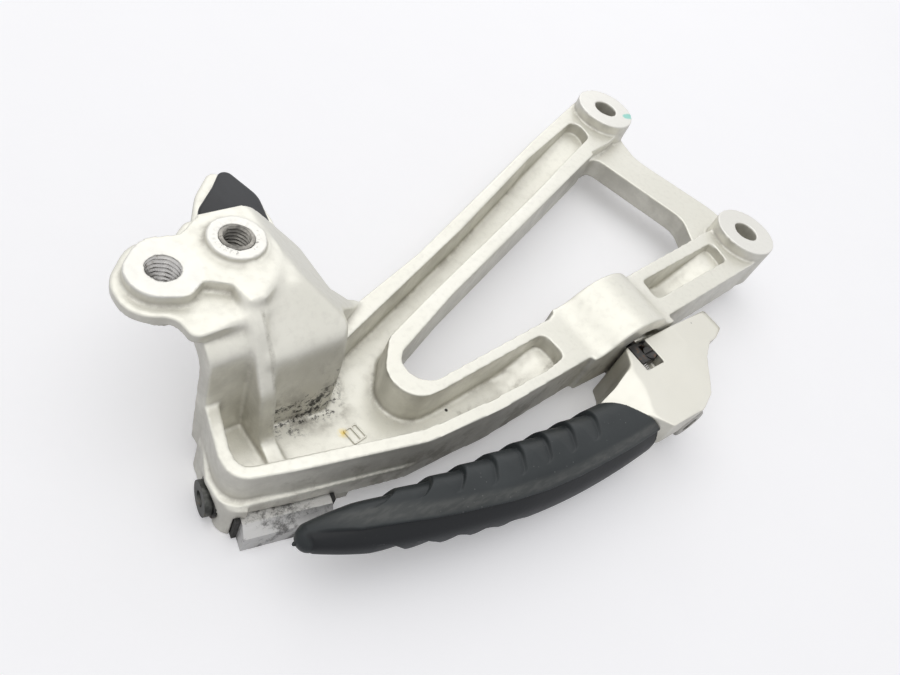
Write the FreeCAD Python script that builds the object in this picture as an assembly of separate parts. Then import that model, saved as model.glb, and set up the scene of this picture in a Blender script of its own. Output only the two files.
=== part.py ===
"""Motorcycle foot peg on its cast hanger, lying outboard side up.

Millimetres. +Z points outboard, +X runs rearwards along the lower arm, +Y towards the upper rear boss.
The origin is the centre of the lower rear boss's outer face.
"""
import FreeCAD, Part
import math
import os

V = FreeCAD.Vector

# ---- hanger: heights ----
FACE_Z = 0.0            # outer faces of the two rear bosses
LEDGE_Z = -16.0         # top of the step along the lower wall
RAIL_Z = -5.0           # tops of the raised rims and rails
WEB_TOP_Z = -18.0       # floor of the channels
ARM_BOTTOM_Z = -22.5    # underside of rims and web
CROSS_TOP_Z = -10.0     # top of the plate that joins the rear bosses
CROSS_BOTTOM_Z = -19.0
GROUND_Z = -30.0        # lowest surface, on which the part lies

# ---- hanger: rear bosses ----
BOSS_R = 13.5
BOSS_HOLE_R = 5.25
BOSS_DEPTH = 20.0       # lower boss, and the upper one's full width
SPIGOT_R = 11.0         # the upper boss goes on as a spigot, down to the frame face
UPPER_BOSS = (-8.0, 85.0)
LOWER_BOSS = (0.0, 0.0)

# ---- hanger: front bosses ----
TAPPED_BOSS = (-244.9, 39.8)
TAPPED_R = 4.25
TAPPED_FACE_Z = 22.0
TAPPED_BOSS_R = 9.4
FLANGE_TOP_Z = 18.4
FLANGE_THICK = 3.2
INSERT_BOSS = (-224.2, 42.2)
INSERT_FACE_Z = 24.0
INSERT_BOSS_R = 7.8
INSERT_DEPTH = 19.0     # depth of the insert boss below its face
LUG_POST = (-216.0, 47.0)    # short post between the lug and the bosses' flange
LUG_POST_R = 6.0
INSERT_R = 4.6
INSERT_BORE_R = 3.4
INSERT_LENGTH = 16.0
TAPPED_DEPTH = 11.0     # depth of the tapped boss below its face

# ---- hanger: walls and rails ----
WEB_CAP = 0.5           # how far a pocket cutter passes above the rails
SHELL = 4.5             # wall of the raised pedestal
WALL_END_X = -210.0     # the pedestal is open behind, from this corner on
WALL_END_Y = 31.0
RIB_X = -231.8
RIB_WIDTH = 5.2

# ---- pivot ----
PIVOT_X = -92.5
PIVOT_Z = -16.8
HUMP_X = -97.0          # the hump's crest lies a little ahead of the pivot
HUMP_Z = -17.0
BARREL_R = 21.5
BARREL_BLEND_R = 12.0
BARREL_BOSS_R = 10.5
BARREL_FRONT_Y = -20.4
BARREL_BACK_Y = 3.0
BOLT_R = 4.0
FIT = 0.05              # radial clearance of every running fit
NUT_FLATS = 13.0
NUT_THICK = 7.0
NUT_POCKET_R = 9.0
NUT_POCKET_DEPTH = 9.5
WASHER_R = 8.0
WASHER_THICK = 1.5
SLEEVE_R = 5.0
BUSH_WALL = 1.2
FLANGE_BUSH_R = 8.6
FLANGE_BUSH_THICK = 0.8
BUSH_LENGTH = 9.0
THRUST_GAP = 0.2
WAVE_THICK = 0.4
WAVE_GAP = 0.35
WAVES = 3
HEAD_R = 6.5
HEAD_THICK = 4.6
HEAD_POCKET_R = 9.4
HEAD_SOCKET_FLATS = 6.0
HEAD_SOCKET = 2.6
HEAD_ROUND = 1.0
BOLT_SHORT = 0.5        # the bolt ends this far inside the barrel's back face

# ---- peg body ----
PEG_TOP_Z = -5.0
PEG_BOTTOM_Z = -30.0
PEG_BEVEL_Y = 13.0      # bevel under the outer side: how far in and how far up
PEG_BEVEL_Z = 15.0
PEG_OUTER_Y = -53.0
HEAD_SEAT_Y = -44.5     # floor of the recess for the pivot bolt's head
TAIL_END_X = -55.0
TAIL_SLOT_DEPTH = 9.0
TAIL_SLOT_HALF = 4.0
PEG_FACE_Y = BARREL_FRONT_Y - THRUST_GAP - FLANGE_BUSH_THICK

# ---- grip: centre line stations (x, y, z), half width, half height ----
GRIP_STATIONS = (
    (-108.0, -41.8, -17.5, 10.0, 12.0),
    (-130.0, -41.8, -17.5, 10.6, 12.5),
    (-155.0, -40.6, -17.2, 10.8, 12.2),
    (-180.0, -38.2, -15.8, 10.0, 10.5),
    (-205.0, -34.0, -14.4, 8.4, 8.4),
    (-224.0, -29.6, -13.2, 6.4, 5.8),
    (-235.6, -26.1, -13.2, 3.8, 3.8),
)
TIP_INSET = 0.1         # the tip's ball is this much smaller than the last section
TIP_SINK = 0.6
GRIP_SQUARENESS = 0.8   # 1 gives an ellipse, less gives a squarer section
GRIP_WALL = 4.2
GRIP_CLEARANCE = 0.15
GRIP_END_INNER = (-129.0, -30.0)    # oblique end of the rubber, arm side
GRIP_END_OUTER = (-111.5, -54.0)    # oblique end of the rubber, outer side
GRIP_SCREW_X = (-140.0, -195.0)
GRIP_SCREW_R = 2.5
GRIP_SCREW_HEAD_R = 4.6
GRIP_SCREW_HEAD = 2.4
GRIP_CUP_WALL = 0.8
GRIP_SCREW_DEPTH = 8.0
GRIP_SOCKET_R = 1.5
GRIP_SOCKET = 1.6

# ---- stop bar in the peg body ----
BAR_X = -99.0
BAR_WIDTH = 9.0
BAR_THICK = 4.4
BAR_LENGTH = 7.6
BAR_TRAVEL = 2.5
BAR_CLEARANCE = 0.2
NOSE_X = -99.0
NOSE_R = 1.8
NOSE_REACH = 3.2
TRACK_CLEARANCE = 0.3
FOLD_DEG = 90.0
SPRING_X = -101.6
SPRING_COIL_R = 1.25
SPRING_WIRE_R = 0.2
SPRING_TURNS = 20
SPRING_POCKET_R = 1.65
SPRING_SEAT = 4.5       # depth of the spring's hole in the bar
SPRING_TAIL = 8.0       # depth of the spring's hole in the peg body
KEEPER_R = 1.5
KEEPER_HEAD_R = 2.5
KEEPER_HEAD = 1.2
KEEPER_DEPTH = 1.0
KEEPER_SLOT = 0.7

# ---- clamp block under the front corner ----
BLOCK_CENTRE = (-230.4, -5.8)
BLOCK_ANGLE = -13.0
BLOCK_LENGTH = 25.0
BLOCK_WIDTH = 26.0
BLOCK_TOP_Z = -20.6
BLOCK_BEVEL = 3.0
BLOCK_TAP_R = 3.4
BLOCK_TAP_DEPTH = 7.0
BLOCK_BOLT_R = 3.0
BLOCK_BOLT_Z = -24.2
BLOCK_BOLT_V = 1.5
BLOCK_HEAD_R = 5.0
BLOCK_HEAD = 2.2
BLOCK_SOCKET_R = 2.3
BLOCK_WASHER_R = 5.7
BLOCK_WASHER = 1.0
BLOCK_TAP_V = -6.5
CHEEK = 3.0             # cheek under the bolt's head
TAPPED_CHEEK = 7.0
TAPPED_CHEEK_V = -5.2   # its outer side, back from the rim
BACK_WALL = 4.0
ISOLATOR = 1.3          # thickness of the pads beside the block
ISOLATOR_HALF = 9.0
SEAT_GAP = 0.1
SPOT_CLEARANCE = 0.4    # spot face round the bolt's washer

# ---- rear lug and its rubber ----
LUG_TOP_Z = 9.5
LUG_THICK = 4.0
PAD_THICK = 3.0
PAD_STEM_R = 3.0
PAD_STEM = (-214.0, 62.0)
PAD_BARB_R = 4.2
PAD_BARB = 3.0
PAD_ROUND = 0.9
PAD_CLEARANCE = 0.15


def rounded_wire(points, z):
    """Closed wire at height z through (x, y, corner radius) points."""
    count = len(points)
    edges = []
    ends = []
    for i in range(count):
        x, y, radius = points[i]
        here = V(x, y, z)
        before = V(points[i - 1][0], points[i - 1][1], z)
        after = V(points[(i + 1) % count][0], points[(i + 1) % count][1], z)
        a = (before - here).normalize()
        b = (after - here).normalize()
        half = 0.5 * math.acos(max(-1.0, min(1.0, a.dot(b))))
        if radius <= 0.0 or abs(half - math.pi / 2) < 1e-4:
            ends.append((here, here, None))
            continue
        cut = radius / math.tan(half)
        bisector = (a + b).normalize()
        middle = here + bisector * (radius / math.sin(half) - radius)
        ends.append((here + a * cut, here + b * cut, middle))
    for i in range(count):
        start, stop, middle = ends[i]
        if middle is not None:
            edges.append(Part.Arc(start, middle, stop).toShape())
        following = ends[(i + 1) % count][0]
        if (following - stop).Length > 1e-6:
            edges.append(Part.LineSegment(stop, following).toShape())
    return Part.Wire(edges)


def prism(points, z0, z1):
    """Solid between two heights over a rounded outline."""
    return Part.Face(rounded_wire(points, z0)).extrude(V(0, 0, z1 - z0))


def slab_xz(points, y0, y1):
    """Solid between two Y values over an outline of (x, z, radius) points."""
    flat = Part.Face(rounded_wire(points, 0.0)).extrude(V(0, 0, y0 - y1))
    flat.rotate(V(0, 0, 0), V(1, 0, 0), 90)
    flat.translate(V(0, y0, 0))
    return flat


def slab_yz(points, x0, x1):
    """Solid between two X values over an outline of (y, z, radius) points."""
    flat = Part.Face(rounded_wire(points, 0.0)).extrude(V(0, 0, x1 - x0))
    flat.rotate(V(0, 0, 0), V(0, 0, 1), 90)
    flat.rotate(V(0, 0, 0), V(0, 1, 0), 90)
    flat.translate(V(x0, 0, 0))
    return flat


def post(centre, radius, z0, z1):
    return Part.makeCylinder(radius, z1 - z0, V(centre[0], centre[1], z0), V(0, 0, 1))


def rod_y(x, z, radius, y0, y1):
    """Cylinder along Y between two Y values, y0 below y1."""
    return Part.makeCylinder(radius, y1 - y0, V(x, y0, z), V(0, 1, 0))


def tube_y(x, z, outer, inner, y0, y1):
    return rod_y(x, z, outer, y0, y1).cut(rod_y(x, z, inner, y0 - 1, y1 + 1))


def hexagon_y(x, z, flats, y0, y1):
    """Hexagonal prism along Y."""
    corner = flats / math.sqrt(3)
    points = [(x + corner * math.cos(math.radians(60 * i)), z + corner * math.sin(math.radians(60 * i)), 0)
              for i in range(6)]
    return slab_xz(points, y0, y1)


def save(shape, name):
    shape.exportStep("parts/" + name + ".step")


# ---------------------------------------------------------------- hanger

OUTLINE = [
    (-243.0, 16.0, 0), (-247.2, 0.5, 0), (-247.6, -7.3, 7), (-231.3, -11.8, 0), (-193.0, -20.4, 20),
    (-165.0, -21.2, 40), (-121.0, -18.6, 0), (-76.0, -17.4, 0), (-4.0, -12.9, 0), (13.0, 3.0, 12),
    (11.0, 22.0, 30), (-4.0, 60.0, 20), (3.0, 92.0, 12), (-12.0, 98.4, 12), (-62.3, 78.7, 0),
    (-151.1, 41.6, 0), (-192.0, 28.0, 0), (-215.0, 40.0, 0),
]

WINDOW = [
    (-152.0, 21.6, 0), (-27.5, 67.2, 5), (-12.0, 22.0, 9), (-20.0, 8.8, 4), (-76.0, 4.2, 0),
    (-84.0, 3.0, 0), (-118.0, 3.0, 0), (-124.0, 0.4, 4), (-180.0, -4.0, 7.2), (-190.0, 5.6, 6.5),
]

ARM_POCKET = [
    (-196.0, 19.4, 0), (-128.2, 45.8, 0), (-69.7, 70.8, 0), (-24.5, 87.0, 4), (-26.5, 75.0, 5),
    (-87.5, 51.2, 0), (-162.6, 23.2, 0), (-183.0, 15.2, 8), (-191.8, 5.0, 9), (-191.0, -7.7, 9),
    (-178.0, -7.6, 0), (-131.0, -3.9, 3), (-130.0, -14.2, 3), (-140.0, -16.0, 0), (-165.8, -17.1, 30),
    (-191.5, -16.4, 16), (-230.6, -7.6, 0), (-243.9, -4.6, 4), (-243.2, 1.5, 0), (-238.6, 17.0, 0),
    (-222.0, 24.0, 0),
]

REAR_POCKET = [(-71.0, -0.2, 2), (-17.5, 3.6, 2), (-19.0, -6.4, 2), (-72.0, -9.6, 2)]

LEDGE = [
    (-243.4, 14.0, 0), (-248.8, 1.0, 0), (-249.2, -8.9, 7), (-231.6, -13.3, 0), (-197.0, -20.6, 20),
    (-183.0, -20.8, 0), (-197.0, -12.0, 0), (-238.0, -2.0, 0), (-239.0, 14.0, 0),
]

WALL_LEFT = [(-243.6, 10.0, 1), (-226.0, 5.0, 0), (-226.0, 56.0, 0), (-238.0, 50.0, 0), (-243.6, 50.0, 0)]

WALL_RIGHT = [(-229.0, 9.8, 0), (-205.6, 6.6, 6), (-200.0, 21.0, 6), (-184.0, 29.5, 0), (-199.0, 50.0, 8),
              (-214.0, 54.0, 6), (-229.0, 54.0, 0)]

SIDE_LEFT = [(12.6, ARM_BOTTOM_Z, 0), (14.6, -4.0, 18), (15.8, 12.0, 7), (26.0, 18.3, 10), (64.0, 18.4, 0),
             (64.0, ARM_BOTTOM_Z, 0)]

SIDE_RIGHT = [(5.5, ARM_BOTTOM_Z, 0), (12.4, 9.0, 9), (27.0, 21.0, 8), (64.0, 22.4, 0),
              (64.0, ARM_BOTTOM_Z, 0)]

FRONT_RIGHT = [(-264.0, ARM_BOTTOM_Z, 0), (-264.0, 22.4, 0), (-214.5, 22.4, 10), (-188.0, -3.2, 9),
               (-180.0, -6.0, 0), (-180.0, ARM_BOTTOM_Z, 0)]

PLATEAU = [
    (-230.6, 23.0, 0), (-231.4, 29.5, 3), (-237.6, 33.0, 2), (-243.0, 29.4, 4), (-252.6, 32.8, 8),
    (-255.6, 42.0, 8), (-246.0, 50.8, 8), (-236.0, 49.0, 4), (-230.0, 53.4, 5), (-216.0, 52.0, 8),
    (-212.4, 38.0, 10), (-220.0, 27.0, 6), (-225.4, 23.0, 0),
]

FLANGE = [
    (-257.4, 43.0, 10), (-247.0, 53.6, 9), (-237.0, 51.0, 4), (-231.0, 56.2, 5), (-214.0, 54.0, 8),
    (-210.0, 34.0, 8), (-225.0, 21.0, 4), (-246.4, 20.0, 3), (-247.4, 27.6, 5), (-257.2, 31.4, 9),
]

LUG = [
    (-228.0, 44.0, 0), (-228.6, 57.0, 8), (-218.5, 73.0, 16), (-209.4, 81.6, 3.0), (-201.0, 70.0, 10),
    (-203.0, 44.0, 0),
]

PAD = [
    (-224.4, 54.5, 1), (-223.0, 64.0, 8), (-214.0, 72.0, 20), (-207.2, 79.4, 2.5), (-202.8, 65.0, 10),
    (-205.0, 54.5, 1),
]


def barrel():
    """Hump over the pivot: round crest blended into the rail tops, with a flat-bottomed boss."""
    reach = BARREL_R + BARREL_BLEND_R
    rise = RAIL_Z + BARREL_BLEND_R - HUMP_Z
    foot = math.sqrt(reach ** 2 - rise ** 2)
    share = BARREL_R / reach
    tangent = (foot * share, HUMP_Z + rise * share)

    def at(x, z):
        return V(HUMP_X + x, 0, z)

    slope = math.atan2(rise, foot)
    mid = (foot - BARREL_BLEND_R * math.cos((slope + math.pi / 2) / 2),
           RAIL_Z + BARREL_BLEND_R - BARREL_BLEND_R * math.sin((slope + math.pi / 2) / 2))
    edges = [
        Part.Arc(at(-foot, RAIL_Z), at(-mid[0], mid[1]), at(-tangent[0], tangent[1])),
        Part.Arc(at(-tangent[0], tangent[1]), at(0, HUMP_Z + BARREL_R), at(tangent[0], tangent[1])),
        Part.Arc(at(tangent[0], tangent[1]), at(mid[0], mid[1]), at(foot, RAIL_Z)),
        Part.LineSegment(at(foot, RAIL_Z), at(foot, ARM_BOTTOM_Z)),
        Part.LineSegment(at(foot, ARM_BOTTOM_Z), at(-foot, ARM_BOTTOM_Z)),
        Part.LineSegment(at(-foot, ARM_BOTTOM_Z), at(-foot, RAIL_Z)),
    ]
    face = Part.Face(Part.Wire([edge.toShape() for edge in edges]))
    hump = face.extrude(V(0, BARREL_BACK_Y - BARREL_FRONT_Y, 0))
    hump.translate(V(0, BARREL_FRONT_Y, 0))
    return hump.fuse(rod_y(PIVOT_X, PIVOT_Z, BARREL_BOSS_R, BARREL_FRONT_Y, BARREL_BACK_Y))


def stop_track():
    """Arc groove in the barrel's front face, in which the stop bar's nose runs as the peg folds."""
    dx = NOSE_X - PIVOT_X
    dz = bar_centre_z() - PIVOT_Z
    radius = math.hypot(dx, dz)
    inner = radius - NOSE_R - TRACK_CLEARANCE
    outer = radius + NOSE_R + TRACK_CLEARANCE
    depth = NOSE_REACH - (BARREL_FRONT_Y - PEG_FACE_Y) + TRACK_CLEARANCE
    margin = math.degrees(math.atan2(NOSE_R + TRACK_CLEARANCE, radius))
    start = math.degrees(math.atan2(dz, dx))

    def at(r, degrees):
        angle = math.radians(degrees)
        return V(PIVOT_X + r * math.cos(angle), BARREL_FRONT_Y - 1, PIVOT_Z + r * math.sin(angle))

    high = start + margin
    low = start - FOLD_DEG - margin
    middle = (high + low) / 2
    edges = [
        Part.Arc(at(inner, low), at(inner, middle), at(inner, high)).toShape(),
        Part.LineSegment(at(inner, high), at(outer, high)).toShape(),
        Part.Arc(at(outer, high), at(outer, middle), at(outer, low)).toShape(),
        Part.LineSegment(at(outer, low), at(inner, low)).toShape(),
    ]
    return Part.Face(Part.Wire(edges)).extrude(V(0, depth + 1, 0))


def bar_centre_z():
    return PEG_TOP_Z - BAR_THICK / 2


def moved(shape, x, y, z):
    copy = shape.copy()
    copy.translate(V(x, y, z))
    return copy


def pedestal():
    """Curved wall that rises from the web to the front bosses: a shell, open behind and below."""
    left = prism(WALL_LEFT, ARM_BOTTOM_Z, TAPPED_FACE_Z).common(slab_yz(SIDE_LEFT, -264.0, -180.0))
    right = prism(WALL_RIGHT, ARM_BOTTOM_Z, TAPPED_FACE_Z).common(slab_yz(SIDE_RIGHT, -264.0, -180.0))
    right = right.common(slab_xz(FRONT_RIGHT, -10.0, 70.0))
    left_shell = left.cut(moved(left, 0, SHELL, -SHELL))
    right_shell = right
    for shift in (-SHELL, -3 * SHELL):
        right_shell = right_shell.cut(moved(right, shift, SHELL, -SHELL))
    # the right wall stops where it meets the arm's rail
    height = LUG_TOP_Z - LUG_THICK - ARM_BOTTOM_Z
    behind = Part.makeBox(40, 40, height, V(WALL_END_X, WALL_END_Y, ARM_BOTTOM_Z))
    return left_shell.fuse(right_shell.cut(behind))


def rib():
    """Rib from the insert boss down the pedestal's wall to the rim."""
    side = [(-5.0, WEB_TOP_Z, 0), (4.5, -15.0, 4), (8.0, 0.0, 14), (19.0, 18.0, 12), (29.0, 22.0, 4),
            (36.0, 22.0, 0), (36.0, 18.0, 0), (22.0, 12.0, 0), (16.0, WEB_TOP_Z, 0)]
    return slab_yz(side, RIB_X, RIB_X + RIB_WIDTH)


def lug():
    """Ear behind the front bosses, with a hole for the stem of its rubber pad."""
    ear = prism(LUG, LUG_TOP_Z - LUG_THICK, LUG_TOP_Z)
    return ear.cut(post(PAD_STEM, PAD_STEM_R + PAD_CLEARANCE, 0, LUG_TOP_Z + 1))


def lug_pad():
    """Domed rubber pad on the ear, held by its own barbed stem."""
    pad = prism(PAD, LUG_TOP_Z, LUG_TOP_Z + PAD_THICK)
    top = [edge for edge in pad.Edges if abs(edge.BoundBox.ZMin - (LUG_TOP_Z + PAD_THICK)) < 1e-6]
    pad = pad.makeFillet(PAD_ROUND, top)
    below = LUG_TOP_Z - LUG_THICK
    stem = post(PAD_STEM, PAD_STEM_R, below - PAD_BARB, LUG_TOP_Z)
    barb = cone_z(*PAD_STEM, below - PAD_CLEARANCE - PAD_BARB, PAD_STEM_R, PAD_BARB_R, PAD_BARB)
    return pad.fuse(stem).fuse(barb)


def block_frame(shape):
    """Turn a shape built about the block's own centre line into place."""
    placed = shape.copy()
    placed.rotate(V(0, 0, 0), V(0, 0, 1), BLOCK_ANGLE)
    placed.translate(V(BLOCK_CENTRE[0], BLOCK_CENTRE[1], 0))
    return placed


def block_rod(radius, u0, u1):
    """Rod along the block's length, on its cross bolt's axis."""
    rod = Part.makeCylinder(radius, u1 - u0, V(u0, BLOCK_BOLT_V, BLOCK_BOLT_Z), V(1, 0, 0))
    return block_frame(rod)


def front_corner():
    """Deep corner under the rim: two cheeks that hold the clamp block between them."""
    inner = BLOCK_LENGTH / 2 + ISOLATOR + SEAT_GAP
    left = prism([(-248.8, -8.8, 5), (-243.0, -11.8, 0), (-240.6, 13.0, 0), (-244.5, 14.0, 2)],
                 GROUND_Z, WEB_TOP_Z + 1)
    right = block_frame(Part.makeBox(TAPPED_CHEEK, BLOCK_WIDTH / 2 + 1 - TAPPED_CHEEK_V, WEB_TOP_Z - GROUND_Z,
                                     V(inner, TAPPED_CHEEK_V, GROUND_Z)))
    back = block_frame(Part.makeBox(2 * inner + BACK_WALL, BACK_WALL, WEB_TOP_Z - GROUND_Z - BACK_WALL,
                                    V(-inner + 2, BLOCK_WIDTH / 2 + 1, GROUND_Z + BACK_WALL)))
    lobes = left.fuse(right).fuse(back)
    room = Part.makeBox(2 * inner, BLOCK_WIDTH + 1.5, BLOCK_TOP_Z - GROUND_Z + SEAT_GAP + 1,
                        V(-inner, -BLOCK_WIDTH / 2 - 1, GROUND_Z - 1))
    return lobes, block_frame(room)


def hanger():
    body = prism(OUTLINE, ARM_BOTTOM_Z, RAIL_Z)
    # the plate between the rear bosses is thinner than the arms
    cross = [(-34.0, 66.2, 0), (-19.2, 69.0, 0), (3.0, 76.0, 0), (30.0, 60.0, 0), (30.0, 6.0, 0),
             (-2.0, 9.4, 0), (-22.0, 9.4, 0)]
    body = body.cut(prism(cross, CROSS_TOP_Z, FACE_Z))
    body = body.cut(prism(cross, ARM_BOTTOM_Z - 1, CROSS_BOTTOM_Z))
    body = body.cut(prism(WINDOW, ARM_BOTTOM_Z - 1, FACE_Z))
    body = body.cut(prism(REAR_POCKET, WEB_TOP_Z, RAIL_Z + WEB_CAP))
    for boss in (UPPER_BOSS, LOWER_BOSS):
        body = body.fuse(post(boss, BOSS_R, FACE_Z - BOSS_DEPTH, FACE_Z))
    body = body.fuse(post(UPPER_BOSS, SPIGOT_R, GROUND_Z, FACE_Z - BOSS_DEPTH))
    body = body.fuse(barrel())

    body = body.fuse(prism(LEDGE, ARM_BOTTOM_Z, LEDGE_Z))
    body = body.cut(prism(ARM_POCKET, WEB_TOP_Z, RAIL_Z + WEB_CAP))
    body = body.fuse(pedestal())
    body = body.fuse(rib())
    body = body.fuse(prism(FLANGE, FLANGE_TOP_Z - FLANGE_THICK, FLANGE_TOP_Z))
    body = body.fuse(prism(PLATEAU, FLANGE_TOP_Z - 1, TAPPED_FACE_Z))
    body = body.fuse(post(TAPPED_BOSS, TAPPED_BOSS_R, TAPPED_FACE_Z - TAPPED_DEPTH, FLANGE_TOP_Z))
    body = body.fuse(post(INSERT_BOSS, INSERT_BOSS_R, INSERT_FACE_Z - INSERT_DEPTH, INSERT_FACE_Z))
    body = body.fuse(post(LUG_POST, LUG_POST_R, LUG_TOP_Z - LUG_THICK, FLANGE_TOP_Z - 1))
    body = body.fuse(lug())

    lobes, room = front_corner()
    body = body.fuse(lobes).cut(room)

    # bores and threads
    for boss in (UPPER_BOSS, LOWER_BOSS):
        body = body.cut(post(boss, BOSS_HOLE_R, GROUND_Z - 1, FACE_Z + 1))
    body = body.cut(post(TAPPED_BOSS, TAPPED_R, -1.0, TAPPED_FACE_Z + 1))
    body = body.cut(post(INSERT_BOSS, INSERT_R, INSERT_FACE_Z - INSERT_LENGTH, INSERT_FACE_Z + 1))
    body = body.cut(post(INSERT_BOSS, INSERT_BORE_R, GROUND_Z, INSERT_FACE_Z))
    body = body.cut(rod_y(PIVOT_X, PIVOT_Z, BOLT_R + FIT, BARREL_FRONT_Y - 1, BARREL_BACK_Y + 1))
    body = body.cut(rod_y(PIVOT_X, PIVOT_Z, NUT_POCKET_R, BARREL_BACK_Y - NUT_POCKET_DEPTH,
                          BARREL_BACK_Y + 12))
    body = body.cut(stop_track())
    cheek = BLOCK_LENGTH / 2 + ISOLATOR + SEAT_GAP
    body = body.cut(block_rod(BLOCK_BOLT_R + FIT, -2 * cheek, 0.0))
    body = body.cut(block_rod(BLOCK_BOLT_R, 0.0, cheek + TAPPED_CHEEK - 0.5))
    body = body.cut(block_rod(BLOCK_WASHER_R + SPOT_CLEARANCE, -2 * cheek, -cheek - CHEEK))
    return body.removeSplitter()


# ---------------------------------------------------------------- clamp block

def clamp_block():
    half = BLOCK_WIDTH / 2
    section = [(-half, GROUND_Z, 0), (half, GROUND_Z, 0), (half, BLOCK_TOP_Z, 0),
               (-half + BLOCK_BEVEL, BLOCK_TOP_Z, 0), (-half, BLOCK_TOP_Z - BLOCK_BEVEL, 0)]
    block = slab_yz(section, -BLOCK_LENGTH / 2, BLOCK_LENGTH / 2)
    block = block_frame(block)
    block = block.cut(block_rod(BLOCK_BOLT_R + FIT, -BLOCK_LENGTH, BLOCK_LENGTH))
    tap = Part.makeCylinder(BLOCK_TAP_R, BLOCK_TAP_DEPTH + 1, V(0, BLOCK_TAP_V, GROUND_Z - 1), V(0, 0, 1))
    return block.cut(block_frame(tap))


def block_ring(outer, inner, u0, u1):
    return block_rod(outer, u0, u1).cut(block_rod(inner, u0 - 1, u1 + 1))


def block_isolators():
    """Flat rubber pads between the block and the two cheeks."""
    near = BLOCK_LENGTH / 2 + SEAT_GAP / 2
    height = BLOCK_TOP_Z - SEAT_GAP - GROUND_Z - 2 * SEAT_GAP
    pads = []
    for side in (-near - ISOLATOR, near):
        pad = Part.makeBox(ISOLATOR, 2 * ISOLATOR_HALF, height, V(side, -ISOLATOR_HALF, GROUND_Z + SEAT_GAP))
        pads.append(block_frame(pad).cut(block_rod(BLOCK_BOLT_R + FIT, side - 1, side + ISOLATOR + 1)))
    return Part.makeCompound(pads)


def block_fasteners():
    """Cross bolt, threaded into the far cheek, and the washer under its head."""
    inner = BLOCK_LENGTH / 2 + ISOLATOR + SEAT_GAP
    face = -inner - CHEEK - SEAT_GAP / 2
    under_head = face - BLOCK_WASHER
    washer = block_ring(BLOCK_WASHER_R, BLOCK_BOLT_R + FIT, under_head, face)
    head = block_rod(BLOCK_HEAD_R, under_head - BLOCK_HEAD, under_head)
    socket = block_rod(BLOCK_SOCKET_R, under_head - BLOCK_HEAD - 1, under_head - BLOCK_HEAD / 2)
    shank = block_rod(BLOCK_BOLT_R, under_head - 0.1, inner + TAPPED_CHEEK - 1.0)
    return washer, head.cut(socket).fuse(shank)


# ---------------------------------------------------------------- peg

def superellipse_wire(station, inset):
    """Closed smooth section across the grip, in a plane of constant x."""
    x, y, z, half_width, half_height = station
    points = []
    steps = 24
    for i in range(steps):
        angle = 2 * math.pi * i / steps
        c = math.cos(angle)
        s = math.sin(angle)
        px = (half_width - inset) * math.copysign(abs(c) ** GRIP_SQUARENESS, c)
        pz = (half_height - inset) * math.copysign(abs(s) ** GRIP_SQUARENESS, s)
        points.append(V(x, y + px, z + pz))
    curve = Part.BSplineCurve()
    curve.interpolate(points, PeriodicFlag=True)
    return Part.Wire([curve.toShape()])


def grip_form(inset, stations):
    wires = [superellipse_wire(station, inset) for station in stations]
    return Part.makeLoft(wires, True, False)


def grip_end_cutter(offset):
    """Everything on the knuckle side of the rubber's oblique end."""
    x0, y0 = GRIP_END_INNER
    x1, y1 = GRIP_END_OUTER
    points = [(x0 + offset, y0, 0), (x1 + offset, y1, 0), (x1 + 60, y1 - 20, 0), (x1 + 60, y0 + 20, 0),
              (x0 + offset, y0 + 20, 0)]
    return prism(points, -60.0, 30.0)


def grip_screw_place(x):
    """Centre of the grip's underside at a screw."""
    for first, second in zip(GRIP_STATIONS, GRIP_STATIONS[1:]):
        if second[0] <= x <= first[0]:
            share = (first[0] - x) / (first[0] - second[0])
            return [a + (b - a) * share for a, b in zip(first, second)]
    raise ValueError("screw is outside the grip")


def cone_z(x, y, z, r0, r1, height):
    return Part.makeCone(r0, r1, height, V(x, y, z), V(0, 0, 1))


def screw_sites():
    sites = []
    for x in GRIP_SCREW_X:
        _, y, z, _, half_height = grip_screw_place(x)
        sites.append((x, y, z - half_height + 1.2))
    return sites


def grip_rubber():
    body = grip_form(0.0, GRIP_STATIONS)
    x, y, z, radius, _ = GRIP_STATIONS[-1]
    body = body.fuse(Part.makeSphere(radius - TIP_INSET, V(x + TIP_SINK, y, z)))
    body = body.cut(grip_form(GRIP_WALL, GRIP_STATIONS[:-1]))
    body = body.cut(grip_end_cutter(0.0))
    for x, y, z in screw_sites():
        mouth = GRIP_SCREW_HEAD_R + GRIP_CUP_WALL + PAD_CLEARANCE
        throat = GRIP_SCREW_R + GRIP_CUP_WALL + PAD_CLEARANCE
        body = body.cut(post((x, y), mouth, z - 3, z))
        body = body.cut(cone_z(x, y, z, mouth, throat, GRIP_SCREW_HEAD))
        body = body.cut(post((x, y), throat, z, z + 8))
    return body


def grip_cups():
    cups = []
    for x, y, z in screw_sites():
        cup = cone_z(x, y, z, GRIP_SCREW_HEAD_R + GRIP_CUP_WALL, GRIP_SCREW_R + GRIP_CUP_WALL,
                     GRIP_SCREW_HEAD)
        cup = cup.cut(cone_z(x, y, z - 0.01, GRIP_SCREW_HEAD_R + 0.02, GRIP_SCREW_R + 0.02,
                             GRIP_SCREW_HEAD + 0.02))
        cups.append(cup)
    return Part.makeCompound(cups)


def grip_screws():
    screws = []
    for x, y, z in screw_sites():
        head = cone_z(x, y, z, GRIP_SCREW_HEAD_R, GRIP_SCREW_R, GRIP_SCREW_HEAD)
        shank = post((x, y), GRIP_SCREW_R, z + GRIP_SCREW_HEAD - 0.1, z + GRIP_SCREW_HEAD + GRIP_SCREW_DEPTH)
        socket = post((x, y), GRIP_SOCKET_R, z - 1, z + GRIP_SOCKET)
        screws.append(head.fuse(shank).cut(socket))
    return Part.makeCompound(screws)


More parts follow.
